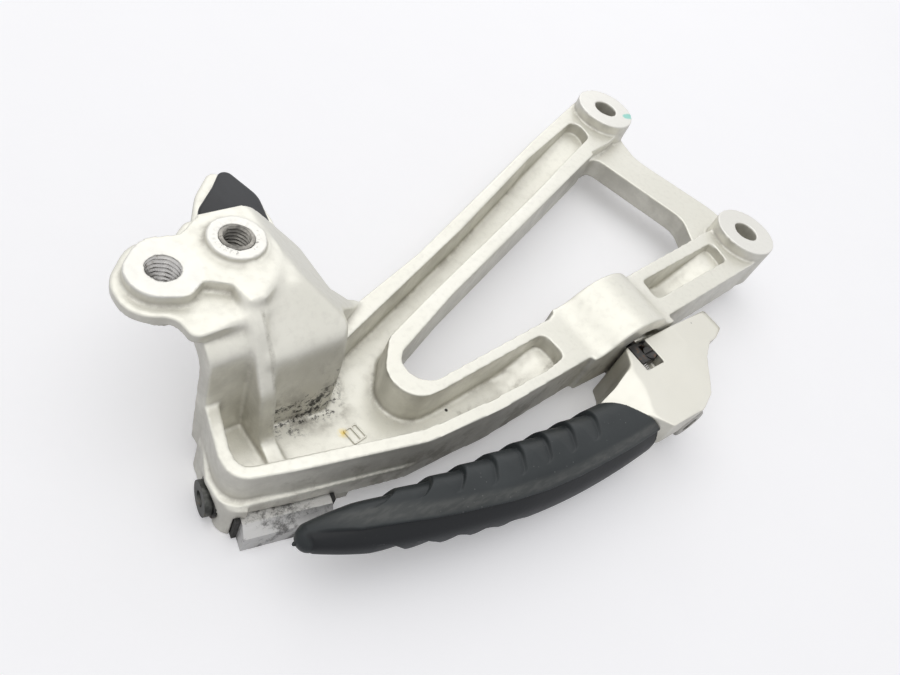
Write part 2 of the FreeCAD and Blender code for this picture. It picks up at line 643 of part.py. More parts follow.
def peg_body():
    """Knuckle with its tail, neck and the core bar that carries the rubber."""
    outline = [
        (-105.0, PEG_FACE_Y, 2), (TAIL_END_X, PEG_FACE_Y, 1), (TAIL_END_X, -30.6, 1), (-61.0, -33.0, 2),
        (-66.0, -33.4, 3), (-74.0, -38.0, 4), (-86.5, -49.8, 4), (-95.0, PEG_OUTER_Y, 6),
        (-112.0, PEG_OUTER_Y + 0.5, 0), (-118.0, -52.0, 0), (-134.0, -34.0, 0), (-118.0, -31.0, 6),
        (-108.0, -27.0, 4),
    ]
    knuckle = prism(outline, PEG_BOTTOM_Z, PEG_TOP_Z)
    knuckle = knuckle.cut(grip_end_cutter(-60.0).cut(grip_end_cutter(GRIP_CLEARANCE)))
    upper = PEG_BOTTOM_Z + PEG_BEVEL_Z
    inner = PEG_OUTER_Y + PEG_BEVEL_Y
    bevel = [(PEG_OUTER_Y - 2, upper, 0), (PEG_OUTER_Y, upper, 0), (inner, PEG_BOTTOM_Z, 0),
             (inner, PEG_BOTTOM_Z - 1, 0), (PEG_OUTER_Y - 2, PEG_BOTTOM_Z - 1, 0)]
    knuckle = knuckle.cut(slab_yz(bevel, -140.0, 0.0))
    tail_slot = Part.makeBox(TAIL_SLOT_DEPTH, 30, 2 * TAIL_SLOT_HALF,
                             V(TAIL_END_X - TAIL_SLOT_DEPTH, -45, PIVOT_Z - TAIL_SLOT_HALF))
    knuckle = knuckle.cut(tail_slot)
    core = grip_form(GRIP_WALL + GRIP_CLEARANCE, GRIP_STATIONS[:-1])
    keep = Part.makeBox(140, 60, 60, V(-225, -70, -50))
    body = knuckle.fuse(core.common(keep))

    bush_r = SLEEVE_R + FIT + BUSH_WALL
    body = body.cut(rod_y(PIVOT_X, PIVOT_Z, bush_r, -70, 0))
    body = body.cut(rod_y(PIVOT_X, PIVOT_Z, HEAD_POCKET_R, -70, HEAD_SEAT_Y))

    # slot for the stop bar, holes for its spring and keeper screw
    width = BAR_WIDTH + 2 * BAR_CLEARANCE
    slot_end = PEG_FACE_Y - BAR_LENGTH - BAR_TRAVEL - BAR_CLEARANCE
    slot = Part.makeBox(width, 60, BAR_THICK + BAR_CLEARANCE + 1,
                        V(BAR_X - width / 2, slot_end, PEG_TOP_Z - BAR_THICK - BAR_CLEARANCE))
    body = body.cut(slot)
    body = body.cut(rod_y(SPRING_X, bar_centre_z(), SPRING_POCKET_R, slot_end - SPRING_TAIL, slot_end + 1))
    body = body.cut(post(keeper_place(), KEEPER_R, PEG_TOP_Z - KEEPER_DEPTH - BAR_THICK, 0))
    for x, y, z in screw_sites():
        body = body.cut(post((x, y), GRIP_SCREW_R, z, z + GRIP_SCREW_HEAD + GRIP_SCREW_DEPTH + 1))
    return body.removeSplitter()


def keeper_place():
    return (BAR_X + 2.2, PEG_FACE_Y - BAR_LENGTH / 2 - 1.4)


def stop_bar():
    """Sprung bar whose nose runs in the barrel's arc groove and stops the fold at both ends."""
    z0 = PEG_TOP_Z - BAR_THICK
    corner = V(BAR_X - BAR_WIDTH / 2, PEG_FACE_Y - BAR_LENGTH, z0)
    bar = Part.makeBox(BAR_WIDTH, BAR_LENGTH, BAR_THICK, corner)
    nose = rod_y(NOSE_X, bar_centre_z(), NOSE_R, PEG_FACE_Y - 1, PEG_FACE_Y + NOSE_REACH)
    bar = bar.fuse(nose)
    x, y = keeper_place()
    half = BAR_TRAVEL + KEEPER_R + BAR_CLEARANCE
    slot_r = KEEPER_R + BAR_CLEARANCE
    slot = [(x - slot_r, y - BAR_CLEARANCE - KEEPER_R, 1.2), (x + slot_r, y - BAR_CLEARANCE - KEEPER_R, 1.2),
            (x + slot_r, y + half, 1.2), (x - slot_r, y + half, 1.2)]
    bar = bar.cut(prism(slot, z0 - 1, 0))
    head_r = KEEPER_HEAD_R + BAR_CLEARANCE
    relief = [(x - head_r, y - head_r, 2), (x + head_r, y - head_r, 2),
              (x + head_r, y + head_r + BAR_TRAVEL, 2), (x - head_r, y + head_r + BAR_TRAVEL, 2)]
    bar = bar.cut(prism(relief, PEG_TOP_Z - KEEPER_HEAD - BAR_CLEARANCE, 0))
    back = PEG_FACE_Y - BAR_LENGTH
    return bar.cut(rod_y(SPRING_X, bar_centre_z(), SPRING_POCKET_R, back - 1, back + SPRING_SEAT))


def keeper_screw():
    x, y = keeper_place()
    head = post((x, y), KEEPER_HEAD_R, PEG_TOP_Z - KEEPER_HEAD, PEG_TOP_Z)
    shank = post((x, y), KEEPER_R, PEG_TOP_Z - KEEPER_DEPTH - BAR_THICK, PEG_TOP_Z - KEEPER_HEAD / 2)
    slot = Part.makeBox(2 * KEEPER_HEAD_R, KEEPER_SLOT, KEEPER_SLOT,
                        V(x - KEEPER_HEAD_R, y - KEEPER_SLOT / 2, PEG_TOP_Z - KEEPER_SLOT))
    return head.fuse(shank).cut(slot)


def bar_spring():
    """Compression spring between the bar and the peg body."""
    back = PEG_FACE_Y - BAR_LENGTH
    y0 = back - BAR_TRAVEL - BAR_CLEARANCE - SPRING_TAIL + SPRING_WIRE_R + 0.1
    y1 = back + SPRING_SEAT - SPRING_WIRE_R - 0.1
    helix = Part.makeHelix((y1 - y0) / SPRING_TURNS, y1 - y0, SPRING_COIL_R)
    profile = Part.Wire([Part.Circle(V(SPRING_COIL_R, 0, 0), V(0, 1, 0), SPRING_WIRE_R).toShape()])
    spring = Part.Wire(helix.Edges).makePipeShell([profile], True, True)
    spring.rotate(V(0, 0, 0), V(1, 0, 0), -90)
    spring.translate(V(SPRING_X, y0, bar_centre_z()))
    return spring


# ---------------------------------------------------------------- pivot

def pivot_stack():
    """Y values of the stack under the bolt's head, from the barrel outwards."""
    inner_flange = (PEG_FACE_Y, PEG_FACE_Y + FLANGE_BUSH_THICK)
    outer_flange = (HEAD_SEAT_Y - FLANGE_BUSH_THICK, HEAD_SEAT_Y)
    wave = (outer_flange[0] - WAVE_GAP - 2 * WAVE_THICK, outer_flange[0] - WAVE_GAP / 2)
    washer = (wave[0] - WAVE_GAP - WASHER_THICK, wave[0] - WAVE_GAP)
    return inner_flange, outer_flange, wave, washer


def flanged_bush(flange, inwards):
    bore = SLEEVE_R + FIT
    outer = bore + BUSH_WALL
    ring = tube_y(PIVOT_X, PIVOT_Z, FLANGE_BUSH_R, bore, flange[0], flange[1])
    if inwards:
        barrel_part = tube_y(PIVOT_X, PIVOT_Z, outer, bore, flange[0] - BUSH_LENGTH, flange[0])
    else:
        barrel_part = tube_y(PIVOT_X, PIVOT_Z, outer, bore, flange[1], flange[1] + BUSH_LENGTH)
    return ring.fuse(barrel_part).removeSplitter()


def wave_washer(span):
    """Ring with three shallow waves, closed by ruled surfaces between its four wavy edges."""
    middle = (span[0] + span[1]) / 2
    bore = SLEEVE_R + 4 * FIT
    outer = WASHER_R
    steps = 36
    height = (span[1] - span[0]) / 2 - WAVE_THICK / 2
    faces = []
    for i in range(steps):
        faces.append((2 * math.pi * i / steps, middle + height * math.sin(WAVES * 2 * math.pi * i / steps)))

    def ring(radius, lift):
        points = [V(PIVOT_X + radius * math.cos(a), y + lift, PIVOT_Z + radius * math.sin(a))
                  for a, y in faces]
        curve = Part.BSplineCurve()
        curve.interpolate(points, PeriodicFlag=True)
        return curve.toShape()

    low = -WAVE_THICK / 2
    high = WAVE_THICK / 2
    edges = [ring(bore, low), ring(outer, low), ring(outer, high), ring(bore, high)]
    shells = [Part.makeRuledSurface(edges[i], edges[(i + 1) % 4]) for i in range(4)]
    solid = Part.makeSolid(Part.makeShell([face for shell in shells for face in shell.Faces]))
    if solid.Volume < 0:
        solid.reverse()
    return solid


def pivot_bolt():
    washer = pivot_stack()[3]
    head = rod_y(PIVOT_X, PIVOT_Z, HEAD_R, washer[0] - HEAD_THICK, washer[0])
    top = washer[0] - HEAD_THICK
    socket = hexagon_y(PIVOT_X, PIVOT_Z, HEAD_SOCKET_FLATS, top - 1, top + HEAD_SOCKET)
    shank = rod_y(PIVOT_X, PIVOT_Z, BOLT_R, washer[0] - 0.1, BARREL_BACK_Y - BOLT_SHORT)
    rim = [edge for edge in head.Edges if edge.Closed and abs(edge.CenterOfMass.y - top) < 0.01]
    head = head.makeFillet(HEAD_ROUND, rim)
    return head.cut(socket).fuse(shank)


def nut_y(x, z, flats, bore, y0, y1):
    """Locking nut: hexagon with a round collar that holds the nylon ring."""
    collar = 0.3 * (y1 - y0)
    body = hexagon_y(x, z, flats, y0, y1 - collar)
    body = body.fuse(rod_y(x, z, flats / 2 - 0.4, y1 - collar, y1))
    return body.cut(rod_y(x, z, bore, y0 - 1, y1 + 1)).removeSplitter()


def build():
    os.makedirs("parts", exist_ok=True)
    inner_flange, outer_flange, wave, head_washer = pivot_stack()
    nut_floor = BARREL_BACK_Y - NUT_POCKET_DEPTH

    save(hanger(), "hanger_casting")
    insert = post(INSERT_BOSS, INSERT_R, INSERT_FACE_Z - INSERT_LENGTH, INSERT_FACE_Z - 0.2)
    save(insert.cut(post(INSERT_BOSS, INSERT_BORE_R, 0, INSERT_FACE_Z + 1)), "thread_insert")
    save(lug_pad(), "lug_pad")

    save(clamp_block(), "clamp_block")
    save(block_isolators(), "block_isolators")
    washer, bolt = block_fasteners()
    save(washer, "block_washer")
    save(bolt, "block_bolt")

    save(peg_body(), "peg_body")
    save(grip_rubber(), "grip_rubber")
    save(grip_cups(), "grip_cup_washers")
    save(grip_screws(), "grip_screws")

    save(stop_bar(), "stop_bar")
    save(keeper_screw(), "bar_keeper_screw")
    save(bar_spring(), "bar_spring")

    save(pivot_bolt(), "pivot_bolt")
    save(tube_y(PIVOT_X, PIVOT_Z, SLEEVE_R, BOLT_R + FIT, head_washer[1], BARREL_FRONT_Y), "pivot_sleeve")
    save(flanged_bush(inner_flange, True), "pivot_bush_inner")
    save(flanged_bush(outer_flange, False), "pivot_bush_outer")
    save(wave_washer(wave), "wave_washer")
    save(tube_y(PIVOT_X, PIVOT_Z, WASHER_R, BOLT_R + FIT, head_washer[0], head_washer[1]),
         "pivot_head_washer")
    save(tube_y(PIVOT_X, PIVOT_Z, WASHER_R, BOLT_R + FIT, nut_floor, nut_floor + WASHER_THICK),
         "pivot_nut_washer")
    save(nut_y(PIVOT_X, PIVOT_Z, NUT_FLATS, BOLT_R, nut_floor + WASHER_THICK,
               nut_floor + WASHER_THICK + NUT_THICK), "pivot_nut")


build()
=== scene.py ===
"""Looks for a folding foot peg on its cast hanger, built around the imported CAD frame.

Axes are the frame's own: +Z outboard, +X rearwards along the lower arm, +Y towards the upper boss.
Values and all work on vertices are in millimetres; node trees, the camera and the lamps are in metres.
"""

import math

import bmesh
import bpy
import numpy as np
from mathutils import Matrix, Vector


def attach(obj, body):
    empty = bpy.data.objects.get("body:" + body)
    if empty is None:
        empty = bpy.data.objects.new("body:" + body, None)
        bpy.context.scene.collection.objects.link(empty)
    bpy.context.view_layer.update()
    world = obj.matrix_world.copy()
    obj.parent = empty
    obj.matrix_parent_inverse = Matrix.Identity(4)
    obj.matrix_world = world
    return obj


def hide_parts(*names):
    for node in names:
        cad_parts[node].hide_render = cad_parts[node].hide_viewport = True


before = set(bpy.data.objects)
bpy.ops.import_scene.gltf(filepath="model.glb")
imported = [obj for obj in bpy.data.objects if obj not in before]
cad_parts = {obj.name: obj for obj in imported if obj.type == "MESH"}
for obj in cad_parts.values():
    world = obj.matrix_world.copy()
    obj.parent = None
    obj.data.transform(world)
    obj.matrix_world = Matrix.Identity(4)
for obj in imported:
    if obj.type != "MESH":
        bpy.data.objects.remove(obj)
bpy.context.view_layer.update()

MM = 0.001
X, Y, Z = range(3)
WELD_DISTANCE = 0.001
HANGER_VOXEL = 0.50
PEG_VOXEL = 0.42
GRIP_VOXEL = 0.32
MARK_VOXEL = 0.12

# bosses, as in the CAD
LOWER_BOSS = (0.0, 0.0)
UPPER_BOSS = (-8.0, 85.0)
TAPPED_BOSS = (-244.9, 39.8)
INSERT_BOSS = (-224.2, 42.2)
# machined seats: centre, radius kept crisp, radius that looks machined, height of the face
SEATS = (
    (LOWER_BOSS, 13.6, 13.6, 0.0),
    (UPPER_BOSS, 13.6, 13.6, 0.0),
    (INSERT_BOSS, 8.0, 8.0, 24.0),
    (TAPPED_BOSS, 9.5, 9.6, 22.0),
)
SEAT_TOLERANCE = 0.6
# the tapped hole's wall is pushed out to this radius, to take the thread sleeve
BORE_R = 5.0
BORE_WALL_R = 4.7
BORE_LOW_Z = 10.5
BORE_HIGH_Z = 21.3
# thread sleeves: outer, minor and major radius, pitch, lower and upper end
TAPPED_THREAD = (5.3, 4.25, 4.95, 1.5, 11.2, 21.3)
INSERT_THREAD = (4.6, 3.4, 4.0, 1.25, 8.1, 23.9)
THREAD_SIDES = 48
THREAD_ROWS_PER_TURN = 8

# regions of a skin: one (axis, where the share is 0, where it is 1) for every limit
WALL = ((X, -190.0, -200.0), (Z, -18.0, -10.0), (Z, 16.5, 12.0))
HUMP = ((X, -133.0, -125.0), (X, -61.0, -69.0), (Z, -7.0, -4.0), (Y, -20.2, -19.2))
TRAY = ((Z, -4.0, -8.0),)
WALL_CREST = ((X, -226.2, -223.5), (X, -196.0, -202.0), (Z, 2.0, 8.0), (Y, 6.0, 10.0), (Y, 52.0, 46.0))
NECK = ((X, -103.0, -112.0), (X, -140.0, -128.0), (Y, -50.0, -44.0), (Z, -28.0, -22.0))
# low band of the outer side wall, which the colour makes darker
DARKER_LOW_SIDE = ((Y, -9.0, -13.0), (Z, -7.5, -12.0), (X, -75.0, -130.0))
# crease between the rib and the raised wall, darkened as a painted shade line so that the rib stands out
CREASE = ((X, -228.2, -227.6), (X, -226.4, -227.0), (Z, -16.5, -13.0), (Y, 24.0, 20.0), (Y, -7.0, -5.5))
# where the rib runs into the raised wall: centre, and the radii at which the share is 0 and 1
RIB_JOINT = (-229.5, 20.0, 18.5)
RIB_JOINT_REACH = (10.0, 4.5)
# foot of the raised wall in the tray, its bend, its right side and the specked patch beside it
WALL_FOOT = ((-226.5, 9.0), (-206.0, 6.8), (-199.5, 21.0))
WALL_BEND = (-208.0, 7.5)
WALL_RIGHT = ((-204.5, 8.0), (-197.0, 21.0))
TRAY_PATCH = (-219.0, 7.5)

# channel floors that rise towards their ends: (start, end, half width, share of the depth)
RAMPS = (
    ((-78.0, 61.0), (-25.5, 81.0), 6.5, 0.62),
    ((-52.0, -3.6), (-18.2, -1.4), 5.2, 0.70),
    ((-150.0, -10.5), (-130.5, -9.0), 5.4, 0.55),
)
# added to the half width, and height of the floor: where a ramp's share is 0, and where it is 1
RAMP_SIDE = (2.6, 1.4)
RAMP_FLOOR_Z = (-20.0, -18.3)
RAMP_TOP_Z = -5.8

# the neck slopes away from this line towards the grip: (x, y), and how it falls
PEG_TOP_Z = -5.0
NECK_LINE = ((-119.0, -51.5), (-110.5, -37.0), (-107.5, -22.0))
NECK_FALL = 0.50
NECK_ROUND = 2.5
NECK_LOWEST = -11.0
NECK_END_X = -130.0
# the tail's top falls by this slope from a crease behind the stop bar
TAIL_CREASE_X = -77.5
TAIL_LENGTH = 30.0
TAIL_FALL = 0.05
# room the stop bar slides in, a little wider than the CAD's slot
SLOT_LOW = (-103.95, -31.95, -9.85)
SLOT_HIGH = (-94.05, -21.6, -4.9)

# grip: centre line stations (x, y, z), half width, half height
GRIP_STATIONS = (
    (-108.0, -41.8, -17.5, 10.0, 12.0),
    (-130.0, -41.8, -17.5, 10.6, 12.5),
    (-155.0, -40.6, -17.2, 10.8, 12.2),
    (-180.0, -38.2, -15.8, 10.0, 10.5),
    (-205.0, -34.0, -14.4, 8.4, 8.4),
    (-224.0, -29.6, -13.2, 6.4, 5.8),
    (-235.6, -26.1, -13.2, 3.8, 3.8),
)
GRIP_SQUARENESS = 0.8
# finger hollows along the arm side: where each one ends, how far it reaches over the crest, its depth,
# and the edge it hangs from, in degrees round the section
HOLLOW_X = (-222.5, -209.7, -198.6, -188.1, -178.0, -167.9, -157.6, -147.1, -136.0)
HOLLOW_REACH = (6.5, 9.0, 11.0, 13.0, 14.0, 14.5, 15.0, 15.0)
HOLLOW_DEPTH = 1.35
HOLLOW_EDGE = 24.0
# the hollows under the outer side are fewer and shorter
LOWER_X = (-223.5, -212.6, -201.8, -191.7, -181.6, -170.0)
LOWER_REACH = (5.0, 5.5, 5.5, 5.0, 4.0)
LOWER_DEPTH = 1.4
LOWER_EDGE = -140.0
# a hollow's reach on the near side of its edge, how far its end wall curves back, and that wall's width
NEAR_REACH = 6.0
WALL_CURVE = 2.6
WALL_WIDTH = 1.3
# lip along the outer shoulder, where the mould parted: (x, degrees round the section)
LIP = ((-237.0, 83.0), (-224.0, 108.0), (-198.0, 128.0), (-168.0, 141.0), (-113.0, 141.0))
LIP_DEPTH = 0.9
LIP_BEAD = 0.16
NUB_PLACE = (-237.8, -25.5, -14.0)
NUB_SIZE = (1.5, 0.75, 0.6)

# blank cast mark in the tray: place, degrees it is turned, half sizes, and its bars
MARK_PLACE = (-204.2, -3.8, -17.9)
MARK_TURN = 8.0
MARK_HALF_X = 2.25
MARK_HALF_Y = 2.5
MARK_LINE = 0.42
MARK_HEIGHT = 0.9
MARK_BAR_X = 0.3

# stray marks: place, and radius
TEAL_DAB = ((1.0, 77.4, 0.0), 5.5)
CHALK_DOT = ((-207.2, -2.0, -18.0), 2.3)
RUST_STAIN = ((-80.5, -45.8, -13.0), 7.0)
CHIPS = (((-172.8, -9.0, -18.0), 1.0), ((-6.9, -13.2, -1.0), 0.9), ((-205.0, 16.0, -3.0), 1.1))
KNOCKS = (((-66.5, -23.7, -5.0), 1.1), ((-63.5, -25.6, -5.0), 0.8), ((-60.5, -26.5, -5.0), 0.9))

# steels: pale and dark tone, lowest and highest roughness, stain
STEELS = {
    "zinc_steel": ((0.50, 0.49, 0.45), (0.30, 0.29, 0.27), 0.34, 0.50, (0.16, 0.12, 0.08)),
    "bright_steel": ((0.66, 0.65, 0.63), (0.50, 0.49, 0.48), 0.22, 0.36, (0.30, 0.27, 0.24)),
    "insert_steel": ((0.40, 0.385, 0.35), (0.12, 0.115, 0.105), 0.28, 0.42, (0.05, 0.045, 0.04)),
    "dark_steel": ((0.085, 0.083, 0.080), (0.035, 0.034, 0.033), 0.36, 0.52, (0.22, 0.10, 0.04)),
    "dull_steel": ((0.150, 0.155, 0.145), (0.055, 0.056, 0.052), 0.36, 0.52, (0.16, 0.09, 0.05)),
}

# the stage, in metres
FLOOR_Z = -0.030
FLOOR_REACH = 6.0
FLOOR_GLOW = 0.23
FAR_GLOW = 0.70
GLOW_RANGE = (0.45, 1.60)
WORLD_FILL = 0.52
CAMERA_PLACE = (-0.3163, -0.0807, 0.1720)
CAMERA_RIGHT = (0.7371, -0.5821, 0.3433)
CAMERA_UP = (0.2918, 0.7324, 0.6152)
LENS = 32.0
AIM = (-0.11, 0.03, 0.0)
# lamps: name, place, size, watts, colour
LAMPS = (
    ("overhead", (-0.20, 0.32, 1.60), (2.3, 2.3), 12.0, (1.0, 0.995, 0.975)),
    ("rear_soft", (0.35, 0.60, 0.45), (0.6, 0.5), 0.6, (0.99, 0.99, 1.0)),
)


# ---------------------------------------------------------------- node helpers

class Nodes:
    """Short calls for building one material's node tree."""

    def __init__(self, name):
        self.material = bpy.data.materials.new(name)
        self.material.use_nodes = True
        self.tree = self.material.node_tree
        self.shader = self.tree.nodes["Principled BSDF"]
        self.place = self.tree.nodes.new("ShaderNodeTexCoord").outputs["Object"]

    def add(self, kind, inputs=None, **settings):
        node = self.tree.nodes.new(kind)
        for key, value in settings.items():
            setattr(node, key, value)
        for key, value in (inputs or {}).items():
            self.join(value, node.inputs[key])
        return node

    def join(self, value, socket):
        if isinstance(value, bpy.types.NodeSocket):
            self.tree.links.new(value, socket)
        else:
            socket.default_value = value

    def math(self, operation, a, b=0.0, clamp=False):
        node = self.add("ShaderNodeMath", {0: a, 1: b}, operation=operation, use_clamp=clamp)
        return node.outputs[0]

    def times(self, a, b, clamp=False):
        return self.math("MULTIPLY", a, b, clamp)

    def larger(self, a, b):
        return self.math("MAXIMUM", a, b, clamp=True)

    def vector(self, operation, a, b=(0, 0, 0)):
        node = self.add("ShaderNodeVectorMath", {0: a, 1: b}, operation=operation)
        return node.outputs["Value" if operation == "LENGTH" else "Vector"]

    def noise(self, scale, detail=4.0, roughness=0.55, place=None):
        node = self.add("ShaderNodeTexNoise", {"Vector": place or self.place, "Scale": scale,
                                               "Detail": detail, "Roughness": roughness})
        return node.outputs["Fac"]

    def stretched(self, scale, stretch, detail=3.0):
        """Noise drawn out along an axis: stretch multiplies each coordinate."""
        return self.noise(scale, detail, 0.5, self.vector("MULTIPLY", self.place, stretch))

    def cells(self, scale):
        return self.add("ShaderNodeTexVoronoi", {"Vector": self.place, "Scale": scale}).outputs["Distance"]

    def span(self, value, low, high, out_low=0.0, out_high=1.0):
        """Smooth step from one range to another."""
        node = self.add("ShaderNodeMapRange", {"Value": value, "From Min": low, "From Max": high,
                                               "To Min": out_low, "To Max": out_high})
        node.interpolation_type = "SMOOTHSTEP"
        return node.outputs["Result"]

    def mix(self, share, a, b):
        node = self.add("ShaderNodeMix", data_type="RGBA")
        self.join(share, node.inputs[0])
        self.join(a if isinstance(a, bpy.types.NodeSocket) else (*a, 1.0), node.inputs[6])
        self.join(b if isinstance(b, bpy.types.NodeSocket) else (*b, 1.0), node.inputs[7])
        return node.outputs[2]

    def blob(self, centre, radius, squeeze=(1, 1, 1)):
        """1 at a point, falling to 0 at the radius."""
        offset = self.vector("SUBTRACT", self.place, tuple(c * MM for c in centre))
        distance = self.vector("LENGTH", self.vector("MULTIPLY", offset, squeeze))
        return self.span(distance, 0.0, radius * MM, 1.0, 0.0)

    def attribute(self, name):
        return self.add("ShaderNodeAttribute", attribute_name=name).outputs["Fac"]

    def upward(self):
        """How far the surface faces outboard: 1 for a top face, 0 for a side wall."""
        facing = self.add("ShaderNodeTexCoord").outputs["Normal"]
        return self.add("ShaderNodeSeparateXYZ", {0: facing}).outputs[2]

    def bump(self, height, distance, strength=1.0):
        node = self.add("ShaderNodeBump", {"Height": height, "Distance": distance, "Strength": strength})
        return node.outputs["Normal"]

    def finish(self, colour, roughness, normal=None, metallic=0.0, **constants):
        self.join(colour, self.shader.inputs["Base Color"])
        self.join(roughness, self.shader.inputs["Roughness"])
        if normal is not None:
            self.join(normal, self.shader.inputs["Normal"])
        self.shader.inputs["Metallic"].default_value = metallic
        for key, value in constants.items():
            self.shader.inputs[key.replace("_", " ")].default_value = value
        return self.material


# ---------------------------------------------------------------- materials

def washer_marks(n, seat):
    """Toothed ring that a washer left on the seat with the insert, worn away and fainter on the far side."""
    offset = n.vector("SUBTRACT", n.place, (INSERT_BOSS[0] * MM, INSERT_BOSS[1] * MM, 0.0))
    x, y, _ = n.add("ShaderNodeSeparateXYZ", {0: offset}).outputs
    radius = n.math("SQRT", n.math("ADD", n.times(x, x), n.times(y, y)))
    turn = n.math("ARCTAN2", y, x)
    teeth = n.span(n.math("SINE", n.times(turn, 24.0)), -0.9, 0.6)
    ring = n.times(n.span(radius, 0.0044, 0.0048), n.span(radius, 0.0058, 0.0070, 1.0, 0.0))
    worn = n.span(n.noise(520.0, 6.0, 0.8), 0.50, 0.60)
    near = n.span(y, -0.0035, 0.0030, 1.0, 0.15)
    marks = n.times(n.times(ring, seat), n.times(teeth, worn))
    return n.times(marks, n.times(near, 0.8))


def cast_alloy():
    """Clear-coated aluminium casting: pale, softly mottled, darker on its side walls as painted shade, and
    with dirt and painted shade in its corners.
    """
    n = Nodes("cast_alloy")
    broad = n.noise(16.0, 3.0)
    fine = n.noise(420.0, 4.0, 0.6)
    grain = n.noise(2600.0, 2.0, 0.5)
    streaks = n.noise(55.0, 5.0, 0.65)
    # painted shade: side walls take a darker, streaky tone than faces that point outboard
    top = n.mix(n.span(broad, 0.35, 0.70), (0.800, 0.788, 0.705), (0.860, 0.848, 0.770))
    side = n.mix(n.span(streaks, 0.35, 0.70), (0.600, 0.585, 0.525), (0.780, 0.765, 0.695))
    colour = n.mix(n.span(n.upward(), 0.10, 0.80), side, top)
    colour = n.mix(n.times(n.span(fine, 0.45, 0.75), 0.18), colour, (0.55, 0.535, 0.49))

    # dirt and painted shade darken the hollows and the foot of the raised wall
    grime_and_shade = n.attribute("grime_and_shade")
    patches = n.span(n.noise(95.0, 6.0, 0.7), 0.42, 0.66)
    dust_and_painted_light = n.times(n.attribute("hollow"), n.span(patches, 0.0, 1.0, 0.35, 0.9))
    dust_and_painted_light = n.larger(dust_and_painted_light, n.times(grime_and_shade, n.span(patches, 0.0, 1.0, 0.25, 1.0)))
    colour = n.mix(n.times(dust_and_painted_light, 0.68), colour, (0.285, 0.262, 0.220))
    speckle = n.attribute("speckle")
    specks = n.span(n.cells(620.0), 0.10, 0.24, 1.0, 0.0)
    chosen = n.span(n.noise(170.0, 5.0, 0.75), 0.50, 0.60)
    black = n.times(n.times(specks, chosen), speckle, clamp=True)
    crust = n.times(n.span(n.noise(300.0, 6.0, 0.8), 0.50, 0.60), speckle)
    black = n.larger(black, n.times(crust, grime_and_shade))
    colour = n.mix(black, colour, (0.030, 0.028, 0.026))

    # the seats of the bosses are machined, and the one with the insert is marked by a washer
    seat = n.attribute("seat")
    colour = n.mix(n.times(seat, 0.55), colour, (0.82, 0.81, 0.78))
    colour = n.mix(washer_marks(n, seat), colour, (0.10, 0.095, 0.085))

    # a few stray marks: paint dab, chalk dot, chips
    teal = n.span(n.times(n.blob(*TEAL_DAB, (1, 1.8, 1)), n.noise(400.0)), 0.05, 0.30)
    colour = n.mix(teal, colour, (0.30, 0.66, 0.58))
    chalk = n.times(n.blob(*CHALK_DOT), n.span(n.noise(900.0), 0.3, 0.5))
    colour = n.mix(n.times(chalk, 0.9), colour, (0.80, 0.62, 0.18))
    for place, size in CHIPS:
        chip = n.span(n.blob(place, size), 0.25, 0.6)
        colour = n.mix(chip, colour, (0.05, 0.045, 0.04))

    rough = n.span(fine, 0.3, 0.7, 0.32, 0.46)
    rough = n.math("ADD", rough, n.times(dust_and_painted_light, 0.30), clamp=True)
    height = n.math("ADD", n.times(fine, 0.6), n.times(grain, 0.4))
    normal = n.bump(height, 0.00012, 0.55)
    return n.finish(colour, rough, normal, metallic=0.55, Coat_Weight=0.15, Coat_Roughness=0.25)


def peg_alloy():
    """Smoother alloy of the folding knuckle, with small knocks and a rust stain, darker on its side walls as
    painted shade, and with dirt and painted shade in its hollows.
    """
    n = Nodes("peg_alloy")
    fine = n.noise(380.0, 4.0, 0.6)
    grain = n.noise(2400.0, 2.0)
    # painted shade: side walls take a darker tone than faces that point outboard
    top = n.mix(n.span(n.noise(20.0, 3.0), 0.35, 0.7), (0.800, 0.783, 0.700), (0.850, 0.836, 0.755))
    side = n.mix(n.span(n.noise(60.0, 4.0), 0.35, 0.7), (0.600, 0.582, 0.515), (0.780, 0.762, 0.685))
    colour = n.mix(n.span(n.upward(), 0.10, 0.80), side, top)
    # dirt and painted shade in the hollows
    dust_and_painted_light = n.times(n.attribute("hollow"), n.span(n.noise(120.0, 5.0, 0.7), 0.35, 0.65))
    colour = n.mix(n.times(dust_and_painted_light, 0.6), colour, (0.30, 0.28, 0.25))
    for place, size in KNOCKS:
        colour = n.mix(n.span(n.blob(place, size), 0.3, 0.6), colour, (0.06, 0.055, 0.05))
    rust = n.times(n.blob(*RUST_STAIN, (1, 1, 0.7)), n.span(n.noise(230.0), 0.42, 0.6))
    colour = n.mix(n.times(rust, 0.8), colour, (0.42, 0.27, 0.14))
    rough = n.span(fine, 0.3, 0.7, 0.30, 0.44)
    height = n.math("ADD", n.times(fine, 0.6), n.times(grain, 0.4))
    return n.finish(colour, rough, n.bump(height, 0.0001, 0.45), metallic=0.5,
                    Coat_Weight=0.15, Coat_Roughness=0.22)


def machined_alloy():
    """Milled block with cutter marks and black smudges."""
    n = Nodes("machined_alloy")
    lines = n.stretched(900.0, (0.06, 1.0, 1.0))
    smudge = n.span(n.noise(130.0, 7.0, 0.8), 0.47, 0.60)
    colour = n.mix(lines, (0.560, 0.555, 0.540), (0.720, 0.715, 0.700))
    colour = n.mix(n.times(smudge, 0.8), colour, (0.075, 0.072, 0.068))
    return n.finish(colour, n.span(lines, 0.3, 0.7, 0.30, 0.46), n.bump(lines, 0.00008, 0.5), metallic=0.6)


